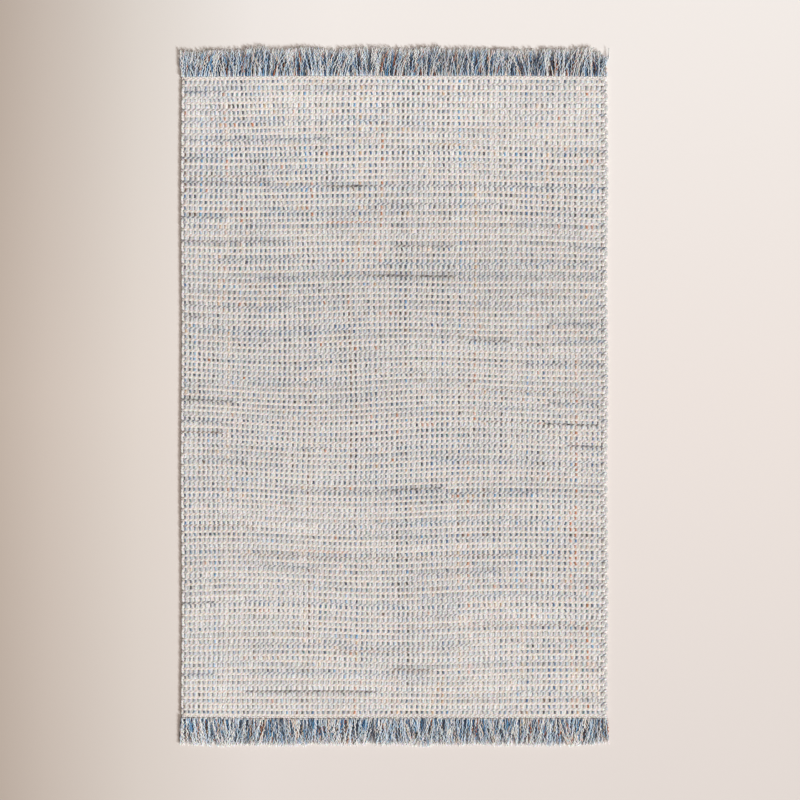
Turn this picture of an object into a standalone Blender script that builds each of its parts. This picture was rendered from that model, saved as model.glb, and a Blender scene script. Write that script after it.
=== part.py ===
"""A handwoven area rug, lying flat on the floor.

The woven field is a thick wool cloth, ribbed across by its weft rows. A twined heading locks the weave
along each end of it. Beyond each heading the warp ends lie on the floor as a fringe of loose locks.

Run with: blender --background --python part.py
Metres, +Z up. +X runs across the rug, along the weft, and +Y along its length, with the warp.
The origin is at the middle of the underside.
"""

import math
from typing import NamedTuple

import bmesh
import bpy
import numpy as np

# Driving dimensions
RUG_WIDTH = 1.524         # selvedge to selvedge, five feet
RUG_LENGTH = 2.296        # fringe root to fringe root, about seven and a half feet
THICKNESS = 0.011         # floor to the crest of a thick weft row
ROW_RELIEF = 0.003        # the thin binding weft lies this far below that crest
ROW_COUNT = 110           # thick weft rows in the field
SELVEDGE_ROUND = 0.008    # width of the rounded edge strip
SELVEDGE_SCALLOP = 0.0012  # each weft turn stands this far out of the edge line
SELVEDGE_WANDER = 0.0015  # slow wander of the edge line
ROW_BOW = 0.004           # how far a weft row bows out of straight
PIECE_GAP = 0.0003        # clearance between two pieces that touch

HEADING_WIDTH = 0.012
HEADING_HEIGHT = 0.0115
HEADING_TWIST = 0.003     # how far a twist's low side lies below its crest
HEADING_TWISTS = 82       # one for each warp column

FRINGE_HEIGHT = 0.005
BACKING_WIDTH = 0.005     # the knotted strip at the fringe's root
LOCK_COUNT = 132          # locks in one fringe
LOCK_JITTER = 0.05        # how far a tip strays sideways, as a share of the lock's pitch
REACH_JITTER = 0.005      # how far one lock is longer or shorter than its neighbours
SEED = 11


class RibPoint(NamedTuple):
    """One point of a weft row's profile, seen along the row."""

    across: float  # place across the row, 0 to 1
    height: float  # share of ROW_RELIEF above the thin binding weft


class Beat(NamedTuple):
    """How closely the weft was beaten in at one place along the rug."""

    along: float  # place along the field, 0 at the near end and 1 at the far end
    pitch: float  # row pitch there, against the mean


class Lean(NamedTuple):
    """One slow sideways wave in the way the fringe lies."""

    reach: float       # how far the tips lean, in metres
    wavelength: float  # in metres
    phase: float       # in radians


class Tuft(NamedTuple):
    """A place where the fringe reaches further out, or less far, than its mean."""

    x: float
    extra: float
    half_width: float


class LockRing(NamedTuple):
    """One cross-section of a lock, from root to tip."""

    along: float   # share of the reach
    width: float   # share of the lock's pitch
    height: float  # share of FRINGE_HEIGHT
    lean: float    # share of the tip's lean


class End(NamedTuple):
    """One end of the rug."""

    name: str
    side: int                # +1 at +Y, -1 at -Y
    reach: float             # mean length of the fringe, from the heading out
    edge: tuple[float, ...]  # how far the end line strays along Y, at equal steps across
    leans: tuple[Lean, ...]
    tufts: tuple[Tuft, ...]


RIB_PROFILE = (RibPoint(0.0, 0.0), RibPoint(0.26, 1.0), RibPoint(0.58, 0.9))

ROW_BEATS = (
    Beat(0.00, 1.02),
    Beat(0.18, 1.03),
    Beat(0.36, 0.94),
    Beat(0.50, 0.94),
    Beat(0.66, 1.03),
    Beat(1.00, 1.04),
)

LOCK_RINGS = (LockRing(0.5, 0.74, 0.85, 0.38), LockRing(1.0, 0.42, 0.5, 1.0))

FAR_END = End(
    name="far",
    side=1,
    reach=0.104,
    edge=(-0.003, 0.001, 0.001, 0.0015, -0.0015),
    leans=(Lean(0.009, 0.26, 0.4), Lean(0.005, 0.17, 2.1)),
    tufts=(
        Tuft(-0.700, -0.006, 0.040),
        Tuft(-0.495, 0.011, 0.035),
        Tuft(-0.310, 0.009, 0.030),
        Tuft(-0.090, 0.005, 0.045),
        Tuft(0.127, 0.010, 0.035),
        Tuft(0.400, -0.005, 0.060),
        Tuft(0.660, 0.006, 0.030),
        Tuft(0.750, -0.024, 0.022),
    ),
)

NEAR_END = End(
    name="near",
    side=-1,
    reach=0.093,
    edge=(0.003, -0.0015, 0.001, 0.0, 0.0),
    leans=(Lean(0.008, 0.31, 1.3), Lean(0.004, 0.15, 0.2)),
    tufts=(
        Tuft(-0.640, 0.004, 0.050),
        Tuft(-0.250, -0.003, 0.080),
        Tuft(0.100, 0.003, 0.060),
        Tuft(0.550, 0.004, 0.040),
        Tuft(0.745, -0.008, 0.020),
    ),
)

# What follows from the driving dimensions
HALF_WIDTH = RUG_WIDTH / 2
HALF_FIELD = RUG_LENGTH / 2 - HEADING_WIDTH - PIECE_GAP
EDGE_SHARE = SELVEDGE_ROUND / HALF_WIDTH
FIELD_COLUMNS = (-1.0, EDGE_SHARE - 1.0, -0.5, 0.0, 0.5, 1.0 - EDGE_SHARE, 1.0)
EDGE_HEIGHT = 0.5         # height of the rounded selvedge, against the cloth beside it
END_BLEND = 6             # how fast the end line's strays fade along the field
WANDER_WAVES = (2.3, 3.1)  # slow waves of the left and right edge, over the field's length
BOW_WAVES = (1.4, 2.2)    # slow waves of a row, across the rug and along it


def clear_scene() -> None:
    """Remove every object that the start file holds."""
    for thing in list(bpy.data.objects):
        bpy.data.objects.remove(thing, do_unlink=True)


def wool(name: str, colour: tuple[float, float, float]) -> bpy.types.Material:
    """Return a matt wool material of one colour."""
    material = bpy.data.materials.new(name)
    material.use_nodes = True
    shader = material.node_tree.nodes["Principled BSDF"]
    shader.inputs["Base Color"].default_value = (*colour, 1.0)
    shader.inputs["Roughness"].default_value = 0.95
    shader.inputs["Metallic"].default_value = 0.0
    return material


def add_object(name: str, bm: bmesh.types.BMesh, material: bpy.types.Material) -> bpy.types.Object:
    """Turn a bmesh into a named, smoothly shaded object with its faces pointing out."""
    bmesh.ops.recalc_face_normals(bm, faces=bm.faces)
    mesh = bpy.data.meshes.new(name)
    bm.to_mesh(mesh)
    bm.free()
    mesh.shade_smooth()
    mesh.set_sharp_from_angle(angle=math.radians(50))
    mesh.materials.append(material)
    thing = bpy.data.objects.new(name, mesh)
    bpy.context.scene.collection.objects.link(thing)
    return thing


def end_stray(end: End, x: float) -> float:
    """Return how far the line where the weave ends strays along Y at x, on straight stretches."""
    places = np.linspace(-HALF_WIDTH, HALF_WIDTH, len(end.edge))
    return float(np.interp(x, places, end.edge))


def row_lines() -> list[tuple[float, float]]:
    """Return each line of the ribbed face: its place along the field, -1 to 1, and its rib height."""
    middles = (np.arange(ROW_COUNT) + 0.5) / ROW_COUNT
    places = [beat.along for beat in ROW_BEATS]
    pitches = np.interp(middles, places, [beat.pitch for beat in ROW_BEATS])
    starts = np.concatenate(([0.0], np.cumsum(pitches)))
    starts = 2.0 * starts / starts[-1] - 1.0
    lines = [
        (start + point.across * (stop - start), point.height)
        for start, stop in zip(starts[:-1], starts[1:])
        for point in RIB_PROFILE
    ]
    return lines + [(1.0, RIB_PROFILE[0].height)]


def field_point(column: float, line: float, rib: float) -> tuple[float, float, float]:
    """Return a point on the field's face, from its column and line, each -1 to 1, and its rib height."""
    side = 0 if column < 0 else 1
    wander = SELVEDGE_WANDER * math.sin(math.pi * WANDER_WAVES[side] * line + side)
    scallop = 2.0 * SELVEDGE_SCALLOP * (rib - 1.0)
    x = column * (HALF_WIDTH + scallop) + wander * abs(column)
    end = FAR_END if line > 0 else NEAR_END
    bow = ROW_BOW * math.sin(BOW_WAVES[0] * math.pi * column + BOW_WAVES[1] * line) * (1.0 - line ** 2)
    y = line * HALF_FIELD + bow + end_stray(end, column * HALF_WIDTH) * abs(line) ** END_BLEND
    z = THICKNESS - ROW_RELIEF * (1.0 - rib)
    if abs(column) == 1.0:
        z *= EDGE_HEIGHT
    return x, y, z


def woven_field() -> bpy.types.Object:
    """Make the cloth: a ribbed face on a grid, walls drawn down from its rim, and a flat underside."""
    bm = bmesh.new()
    lines = row_lines()
    grid = []
    for line, rib in lines:
        grid.append([bm.verts.new(field_point(column, line, rib)) for column in FIELD_COLUMNS])
    for row, next_row in zip(grid[:-1], grid[1:]):
        for j in range(len(FIELD_COLUMNS) - 1):
            bm.faces.new((row[j], row[j + 1], next_row[j + 1], next_row[j]))
    rim = [edge for edge in bm.edges if edge.is_boundary]
    walls = bmesh.ops.extrude_edge_only(bm, edges=rim)["geom"]
    low = [item for item in walls if isinstance(item, bmesh.types.BMVert)]
    for vert in low:
        vert.co.z = 0.0
    add_underside(bm, low, len(lines))
    return add_object("woven_field", bm, wool("wool_field", (0.60, 0.57, 0.53)))


def add_underside(bm: bmesh.types.BMesh, low: list[bmesh.types.BMVert], line_count: int) -> None:
    """Close the field below: one flat face from selvedge to selvedge for each pair of lines."""
    left = sorted((v for v in low if v.co.x < -HALF_WIDTH + SELVEDGE_ROUND / 2), key=lambda v: v.co.y)
    right = sorted((v for v in low if v.co.x > HALF_WIDTH - SELVEDGE_ROUND / 2), key=lambda v: v.co.y)
    between = sorted((v for v in low if v not in left and v not in right), key=lambda v: v.co.x)
    near = [v for v in between if v.co.y < 0]
    far = [v for v in between if v.co.y > 0]
    last = line_count - 2
    for i in range(line_count - 1):
        first_edge = near if i == 0 else []
        last_edge = far[::-1] if i == last else []
        bm.faces.new([left[i], *first_edge, right[i], right[i + 1], *last_edge, left[i + 1]])


def twined_heading(end: End) -> bpy.types.Object:
    """Make one heading: a bar flat below, whose two top edges rise and fall in turn as twined yarns do."""
    bm = bmesh.new()
    sections = []
    for i, x in enumerate(np.linspace(-HALF_WIDTH, HALF_WIDTH, 2 * HEADING_TWISTS + 1)):
        inner = end.side * (HALF_FIELD + PIECE_GAP) + end_stray(end, x)
        outer = inner + end.side * HEADING_WIDTH
        inner_top = HEADING_HEIGHT - HEADING_TWIST * (i % 2)
        outer_top = HEADING_HEIGHT - HEADING_TWIST * ((i + 1) % 2)
        corners = ((x, inner, 0.0), (x, outer, 0.0), (x, outer, outer_top), (x, inner, inner_top))
        sections.append([bm.verts.new(corner) for corner in corners])
    for section, next_section in zip(sections[:-1], sections[1:]):
        for j in range(4):
            k = (j + 1) % 4
            bm.faces.new((section[j], section[k], next_section[k], next_section[j]))
    bm.faces.new(sections[0])
    bm.faces.new(sections[-1][::-1])
    return add_object(f"heading_{end.name}", bm, wool(f"wool_heading_{end.name}", (0.76, 0.72, 0.66)))


def lock_reach(end: End, x: float) -> float:
    """Return how far out the fringe reaches at x, with its tufts and short places."""
    extra = sum(tuft.extra * math.exp(-(((x - tuft.x) / tuft.half_width) ** 2)) for tuft in end.tufts)
    return end.reach + extra


def lock_lean(end: End, x: float) -> float:
    """Return how far sideways the tips lie at x. It fades to nothing at the rug's corners."""
    fade = 1.0 - (abs(x) / HALF_WIDTH) ** 8
    waves = [lean.reach * math.sin(math.tau * x / lean.wavelength + lean.phase) for lean in end.leans]
    return fade * sum(waves)


def draw_lock(
    bm: bmesh.types.BMesh, root: bmesh.types.BMFace, side: int, reach: float, lean: float
) -> None:
    """Draw one four-sided lock out of its root face, ring by ring, level on the floor."""
    middle = root.calc_center_median()
    pitch = RUG_WIDTH / LOCK_COUNT
    for ring in LOCK_RINGS:
        root = bmesh.ops.extrude_discrete_faces(bm, faces=[root])["faces"][0]
        centre = root.calc_center_median()
        for vert in root.verts:
            sideways = math.copysign(pitch * ring.width / 2, vert.co.x - centre.x)
            top = FRINGE_HEIGHT * ring.height if vert.co.z > centre.z else 0.0
            vert.co = (middle.x + lean * ring.lean + sideways, middle.y + side * reach * ring.along, top)


def fringe(end: End) -> bpy.types.Object:
    """Make one fringe: a narrow knotted strip beside the heading, and a lock drawn out of each face of it."""
    bm = bmesh.new()
    rng = np.random.default_rng(SEED + end.side)
    stations = np.linspace(-HALF_WIDTH, HALF_WIDTH, LOCK_COUNT + 1)
    sections = []
    for x in stations:
        inner = end.side * (RUG_LENGTH / 2 + PIECE_GAP) + end_stray(end, x)
        outer = inner + end.side * BACKING_WIDTH
        corners = ((x, inner, 0.0), (x, outer, 0.0), (x, outer, FRINGE_HEIGHT), (x, inner, FRINGE_HEIGHT))
        sections.append([bm.verts.new(corner) for corner in corners])
    roots = []
    for section, next_section in zip(sections[:-1], sections[1:]):
        faces = []
        for j in range(4):
            k = (j + 1) % 4
            faces.append(bm.faces.new((section[j], section[k], next_section[k], next_section[j])))
        roots.append(faces[1])
    bm.faces.new(sections[0])
    bm.faces.new(sections[-1][::-1])
    for root, x in zip(roots, (stations[:-1] + stations[1:]) / 2):
        stray, longer = rng.uniform(-1.0, 1.0, 2)
        reach = lock_reach(end, x) + REACH_JITTER * longer - BACKING_WIDTH
        lean = lock_lean(end, x) + LOCK_JITTER * stray * RUG_WIDTH / LOCK_COUNT
        draw_lock(bm, root, end.side, reach, lean)
    return add_object(f"fringe_{end.name}", bm, wool(f"wool_fringe_{end.name}", (0.30, 0.31, 0.34)))


def centre_on_origin(pieces: list[bpy.types.Object]) -> None:
    """Move every piece's mesh so that the middle of the rug's underside lies at the origin."""
    corners = [vert.co for piece in pieces for vert in piece.data.vertices]
    x_middle = (min(co.x for co in corners) + max(co.x for co in corners)) / 2
    y_middle = (min(co.y for co in corners) + max(co.y for co in corners)) / 2
    for piece in pieces:
        for vert in piece.data.vertices:
            vert.co.x -= x_middle
            vert.co.y -= y_middle


def main() -> None:
    """Build the rug's five pieces."""
    clear_scene()
    pieces = [woven_field()]
    for end in (FAR_END, NEAR_END):
        pieces.append(twined_heading(end))
        pieces.append(fringe(end))
    centre_on_origin(pieces)


main()
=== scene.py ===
"""The looks of a handwoven area rug that lies flat on a pale floor, seen from straight above.

A thin ground sheet carries every yarn. Thick cream weft crosses the rug row by row and swells between the
warps. The dyed warp rises over each row as an upright fleck, and a thin binding weft closes the rows between
them. At each end a twined heading locks the weave, and the warp goes on past it as a loose, crimped fringe.
"""

import logging
import math
from dataclasses import dataclass, field
from enum import Enum

import bpy
import numpy as np
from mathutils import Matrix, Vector


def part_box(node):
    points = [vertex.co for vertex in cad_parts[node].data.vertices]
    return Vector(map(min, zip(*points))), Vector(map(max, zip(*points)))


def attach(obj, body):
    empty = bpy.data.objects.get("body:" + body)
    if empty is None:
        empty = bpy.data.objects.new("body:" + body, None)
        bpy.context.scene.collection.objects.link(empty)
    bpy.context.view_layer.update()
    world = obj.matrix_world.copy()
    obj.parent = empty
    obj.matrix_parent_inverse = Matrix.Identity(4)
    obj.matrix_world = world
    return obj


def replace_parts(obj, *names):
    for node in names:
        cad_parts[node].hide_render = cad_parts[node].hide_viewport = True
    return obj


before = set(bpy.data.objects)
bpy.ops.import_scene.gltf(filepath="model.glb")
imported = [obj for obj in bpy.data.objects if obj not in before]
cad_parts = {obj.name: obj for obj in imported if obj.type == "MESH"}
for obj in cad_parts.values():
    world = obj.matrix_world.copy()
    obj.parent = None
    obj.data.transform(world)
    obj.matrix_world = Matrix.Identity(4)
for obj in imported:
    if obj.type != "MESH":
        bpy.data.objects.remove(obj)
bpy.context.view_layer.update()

LOG = logging.getLogger("rug")
MM = 0.001
Z_UP = np.array([0.0, 0.0, 1.0])
SHELF_MARGIN = 0.04
CAP_SHARE = 0.02


class Shade(Enum):
    """The yarn colours, as red, green and blue from 0 to 255."""

    CREAM = (241, 237, 233)
    OAT = (233, 218, 206)
    BLUSH = (212, 190, 177)
    PALE_GREY = (210, 213, 216)
    PALE_BLUE = (204, 220, 234)
    PEACH = (240, 214, 192)
    ASH = (150, 160, 170)
    BLUE_GREY = (118, 140, 163)
    SLATE = (84, 101, 122)
    NAVY = (46, 56, 84)
    CHARCOAL = (54, 56, 62)
    SKY = (92, 152, 196)
    DENIM = (62, 106, 152)
    TEAL = (84, 124, 128)
    RUST = (190, 112, 68)
    BROWN = (112, 84, 70)
    TAN = (202, 166, 130)
    # The floor's tones: one pale floor, darker step by step under painted shade.
    FLOOR = (238, 228, 222)
    FLOOR_DIM = (226, 215, 206)
    FLOOR_SHADE = (209, 195, 184)
    FLOOR_DEEP_SHADE = (190, 174, 161)

    @property
    def linear(self) -> np.ndarray:
        """The colour as linear light, from 0 to 1."""
        share = np.array(self.value) / 255.0
        return np.where(share <= 0.04045, share / 12.92, ((share + 0.055) / 1.055) ** 2.4)


class Slot(Enum):
    """The record's material slots."""

    FIELD = "field_wool"
    HEADING = "heading_wool"
    FRINGE = "fringe_wool"


@dataclass(frozen=True)
class WoolFinish:
    """A matt spun wool. Each yarn's colour comes from the piece's own dye attribute.

    A yarn with a pale ply shows its dye on one ply and a paler tone on the other, wound about each other.
    """

    name: str
    ply_pitch: float = 9.0 * MM
    # ply_shade: how far painted shade darkens the grooves between the plies.
    ply_shade: float = 0.16
    ply_depth: float = 0.5 * MM
    fibre_scale: float = 900.0
    fibre_detail: float = 4.0
    fibre_roughness: float = 0.65
    fibre_depth: float = 0.2 * MM
    heather: float = 0.22
    speck_scale: float = 260.0
    speck_share: float = 0.42
    speck_detail: float = 2.0
    speck_roughness: float = 0.6
    roughness: float = 0.94
    specular: float = 0.2
    sheen: float = 0.25
    sheen_roughness: float = 0.5
    pale_ply: float = 0.0
    least_pale: float = 0.15
    dye_range: tuple[float, float] = (0.08, 0.34)
    crest_range: tuple[float, float] = (0.35, 0.65)
    softness: float = 0.45

    def material(self) -> bpy.types.Material:
        """Build the node material.

        Returns:
            A material whose colour is the dye, mottled by fine noise, tinted by coloured specks and darkened
            by painted shade in the grooves between the plies. Its bump is those grooves and the noise as
            fibre.
        """
        bench = NodeBench(self.name)
        dye = bench.add("ShaderNodeAttribute", attribute_name="dye")
        place = bench.add("ShaderNodeTexCoord").outputs["Object"]
        fibre = bench.noise(place, self.fibre_scale, self.fibre_detail, self.fibre_roughness).outputs["Fac"]
        mottle = bench.between(fibre, 1.0 - self.heather, 1.0 + self.heather)
        groove = self._ply_groove(bench)
        # Painted shade: the colour darkens in the grooves between the plies.
        shade = bench.between(groove, 1.0 - self.ply_shade, 1.0)
        tint = bench.math("MULTIPLY", mottle, shade)
        plied = self._plied(bench, dye.outputs["Color"], groove)
        colour = bench.scaled(bench.vector("MULTIPLY", plied, self._specks(bench, place)), tint)
        ply_height = bench.math("MULTIPLY", groove, self.ply_depth)
        height = bench.math("MULTIPLY_ADD", fibre, self.fibre_depth, ply_height)
        bump = bench.add("ShaderNodeBump", {"Strength": 1.0, "Distance": 1.0})
        bench.link(height, bump.inputs["Height"])
        bench.link(self._softened(bench), bump.inputs["Normal"])
        bench.link(bump.outputs["Normal"], bench.shader.inputs["Normal"])
        values = {
            "Roughness": self.roughness,
            "Specular IOR Level": self.specular,
            "Sheen Weight": self.sheen,
            "Sheen Roughness": self.sheen_roughness,
        }
        return bench.shaded(colour, values)

    def _specks(self, bench: "NodeBench", place: bpy.types.NodeSocket) -> bpy.types.NodeSocket:
        """Add a gain for red, green and blue, each of which strays from 1 in small patches of its own.

        Args:
            bench: the material in the making.
            place: where on the piece the patches are looked up.

        Returns:
            The gain.
        """
        patches = bench.noise(place, self.speck_scale, self.speck_detail, self.speck_roughness)
        stretch = (2.0 * self.speck_share,) * 3
        least = (1.0 - self.speck_share,) * 3
        return bench.vector("MULTIPLY_ADD", patches.outputs["Color"], stretch, least)

    def _softened(self, bench: "NodeBench") -> bpy.types.NodeSocket:
        """Add the surface's normal, its sideways part cut by the softness, as loose fibre evens out light.

        Args:
            bench: the material in the making.

        Returns:
            The normal, of unit length.
        """
        surface = bench.add("ShaderNodeNewGeometry")
        cut = (1.0 - self.softness, 1.0 - self.softness, 1.0)
        return bench.vector("NORMALIZE", bench.vector("MULTIPLY", surface.outputs["Normal"], cut))

    def _plied(
        self, bench: "NodeBench", dye: bpy.types.NodeSocket, wave: bpy.types.NodeSocket
    ) -> bpy.types.NodeSocket:
        """Blend the dye towards cream on the ply where the wave is high, but less where the dye is dark.

        Args:
            bench: the material in the making.
            dye: the yarn's colour.
            wave: 0 in the groove between two plies, 1 on a crest.

        Returns:
            The blended colour, or the dye itself where the wool has no pale ply.
        """
        if not self.pale_ply:
            return dye
        blend = bench.add("ShaderNodeMix", data_type="RGBA")
        grey = bench.add("ShaderNodeRGBToBW")
        bench.link(dye, grey.inputs["Color"])
        light = bench.between(grey.outputs["Val"], self.least_pale, self.pale_ply, *self.dye_range)
        ply = bench.between(wave, 0.0, 1.0, *self.crest_range)
        bench.link(bench.math("MULTIPLY", ply, light), blend.inputs["Factor"])
        bench.link(dye, blend.inputs["A"])
        blend.inputs["B"].default_value = (*Shade.CREAM.linear, 1.0)
        return blend.outputs["Result"]

    def _ply_groove(self, bench: "NodeBench") -> bpy.types.NodeSocket:
        """Add a wave that winds round the yarn: half of 1 plus the sine of its turns along and round it.

        Args:
            bench: the material in the making.

        Returns:
            The wave, 0 in the groove between two plies and 1 on a ply's crest.
        """
        yarn = bench.add("ShaderNodeUVMap", uv_map="yarn")
        parts = bench.add("ShaderNodeSeparateXYZ")
        bench.link(yarn.outputs["UV"], parts.inputs["Vector"])
        turns = bench.math("MULTIPLY_ADD", parts.outputs["X"], 1.0 / self.ply_pitch, parts.outputs["Y"])
        wave = bench.math("SINE", bench.math("MULTIPLY", turns, math.tau))
        return bench.between(wave, 0.0, 1.0, low=-1.0)


@dataclass(frozen=True)
class FloorFinish:
    """A plain pale floor under painted shade: darker at the left, near side and far left corner, and a
    painted cooler light at the far side.
    """

    name: str = "pale_floor"
    stops: tuple[tuple[float, Shade], ...] = (
        (-1.48, Shade.FLOOR_DEEP_SHADE),
        (-1.24, Shade.FLOOR_SHADE),
        (-0.92, Shade.FLOOR_DIM),
        (-0.50, Shade.FLOOR),
    )
    half_depth: float = 1.45
    near_share: float = 0.90
    middle_share: float = 0.99
    far_painted_light_tint: tuple[float, float, float] = (1.055, 1.09, 1.105)
    tint_x: tuple[float, float] = (-1.45, -0.7)
    corner_painted_shade: float = 0.12
    corner_x: tuple[float, float] = (-1.15, -0.2)
    roughness: float = 0.9
    specular: float = 0.1

    def material(self) -> bpy.types.Material:
        """Build the floor's node material.

        Returns:
            A matt material that runs through the stops' colours along X, scaled along Y and in the corner,
            all painted shade, and tinted by a painted cooler light at the far side.
        """
        bench = NodeBench(self.name)
        place = bench.add("ShaderNodeTexCoord")
        parts = bench.add("ShaderNodeSeparateXYZ")
        bench.link(place.outputs["Object"], parts.inputs["Vector"])
        first, last = self.stops[0][0], self.stops[-1][0]
        share = bench.between(parts.outputs["X"], 0.0, 1.0, low=first, high=last)
        blend = bench.add("ShaderNodeValToRGB")
        elements = blend.color_ramp.elements
        while len(elements) < len(self.stops):
            elements.new(0.5)
        for element, (x, shade) in zip(elements, self.stops):
            element.position = (x - first) / (last - first)
            element.color = (*shade.linear, 1.0)
        bench.link(share, blend.inputs["Fac"])
        # Painted shade: darker towards the near side, and in the far left corner.
        shares = self.near_share, self.middle_share
        near_painted_shade_gain = bench.between(parts.outputs["Y"], *shares, low=-self.half_depth, high=0.0)
        far = bench.between(parts.outputs["Y"], 0.0, 1.0, low=0.0, high=self.half_depth)
        left = bench.between(parts.outputs["X"], self.corner_painted_shade, 0.0, *self.corner_x)
        gain = bench.math("SUBTRACT", near_painted_shade_gain, bench.math("MULTIPLY", far, left))
        inward = bench.between(parts.outputs["X"], 0.0, 1.0, *self.tint_x)
        # Painted light: a cooler, brighter tint at the far side, away from the left.
        tint = bench.add("ShaderNodeMix", data_type="RGBA")
        bench.link(bench.math("MULTIPLY", far, inward), tint.inputs["Factor"])
        tint.inputs["A"].default_value = (1.0, 1.0, 1.0, 1.0)
        tint.inputs["B"].default_value = (*self.far_painted_light_tint, 1.0)
        colour = bench.scaled(bench.vector("MULTIPLY", blend.outputs["Color"], tint.outputs["Result"]), gain)
        return bench.shaded(colour, {"Roughness": self.roughness, "Specular IOR Level": self.specular})


class NodeBench:
    """A new material and short ways to add nodes to it."""

    def __init__(self, name: str) -> None:
        """Start a node material.

        Args:
            name: the material's name.
        """
        self.material = bpy.data.materials.new(name)
        self.material.use_nodes = True
        self.tree = self.material.node_tree
        self.shader = self.tree.nodes["Principled BSDF"]

    def add(self, kind: str, inputs: dict[str, float] | None = None, **settings: str) -> bpy.types.Node:
        """Add a node.

        Args:
            kind: the node's type.
            inputs: values for its sockets, by name.
            settings: values for its own properties.

        Returns:
            The node.
        """
        node = self.tree.nodes.new(kind)
        for name, value in settings.items():
            setattr(node, name, value)
        for name, value in (inputs or {}).items():
            node.inputs[name].default_value = value
        return node

    def link(self, start: bpy.types.NodeSocket, end: bpy.types.NodeSocket) -> None:
        """Join an output to an input."""
        self.tree.links.new(start, end)

    def math(
        self, operation: str, *values: bpy.types.NodeSocket | float | tuple, kind: str = "ShaderNodeMath"
    ) -> bpy.types.NodeSocket:
        """Add a Math node.

        Args:
            operation: what it works out.
            values: what it works on, as sockets or plain values.
            kind: the node's type.

        Returns:
            The result.
        """
        node = self.add(kind, operation=operation)
        for socket, value in zip(node.inputs, values):
            if isinstance(value, bpy.types.NodeSocket):
                self.link(value, socket)
            else:
                socket.default_value = value
        return node.outputs[0]

    def vector(self, operation: str, *values: bpy.types.NodeSocket | tuple) -> bpy.types.NodeSocket:
        """Add a Vector Math node on sockets or plain vectors, and return its result."""
        return self.math(operation, *values, kind="ShaderNodeVectorMath")

    def scaled(self, colour: bpy.types.NodeSocket, gain: bpy.types.NodeSocket) -> bpy.types.NodeSocket:
        """Scale a colour by a gain.

        Args:
            colour: the colour, as a vector.
            gain: one number for all three of its parts.

        Returns:
            The scaled colour.
        """
        node = self.add("ShaderNodeVectorMath", operation="SCALE")
        self.link(colour, node.inputs[0])
        self.link(gain, node.inputs["Scale"])
        return node.outputs["Vector"]

    def noise(
        self, place: bpy.types.NodeSocket, scale: float, detail: float, roughness: float
    ) -> bpy.types.Node:
        """Add a Noise Texture.

        Args:
            place: where it is looked up.
            scale: its patches to the metre.
            detail: its finer layers.
            roughness: how strong those are.

        Returns:
            The node.
        """
        node = self.add("ShaderNodeTexNoise", {"Scale": scale, "Detail": detail, "Roughness": roughness})
        self.link(place, node.inputs["Vector"])
        return node

    def between(
        self, value: bpy.types.NodeSocket, to_low: float, to_high: float, low: float = 0.0, high: float = 1.0
    ) -> bpy.types.NodeSocket:
        """Map a value from low..high onto to_low..to_high, clamped.

        Args:
            value: the value.
            to_low: what low becomes.
            to_high: what high becomes.
            low: the first end of the value's range.
            high: its other end.

        Returns:
            The mapped value.
        """
        node = self.add("ShaderNodeMapRange")
        self.link(value, node.inputs["Value"])
        for name, number in {"From Min": low, "From Max": high, "To Min": to_low, "To Max": to_high}.items():
            node.inputs[name].default_value = number
        return node.outputs["Result"]

    def shaded(self, colour: bpy.types.NodeSocket, values: dict[str, float]) -> bpy.types.Material:
        """Give the shader its colour and its plain values.

        Args:
            colour: the base colour.
            values: the shader's other values, by the names of their sockets.

        Returns:
            The finished material.
        """
        self.link(colour, self.shader.inputs["Base Color"])
        for name, value in values.items():
            self.shader.inputs[name].default_value = value
        return self.material


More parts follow.
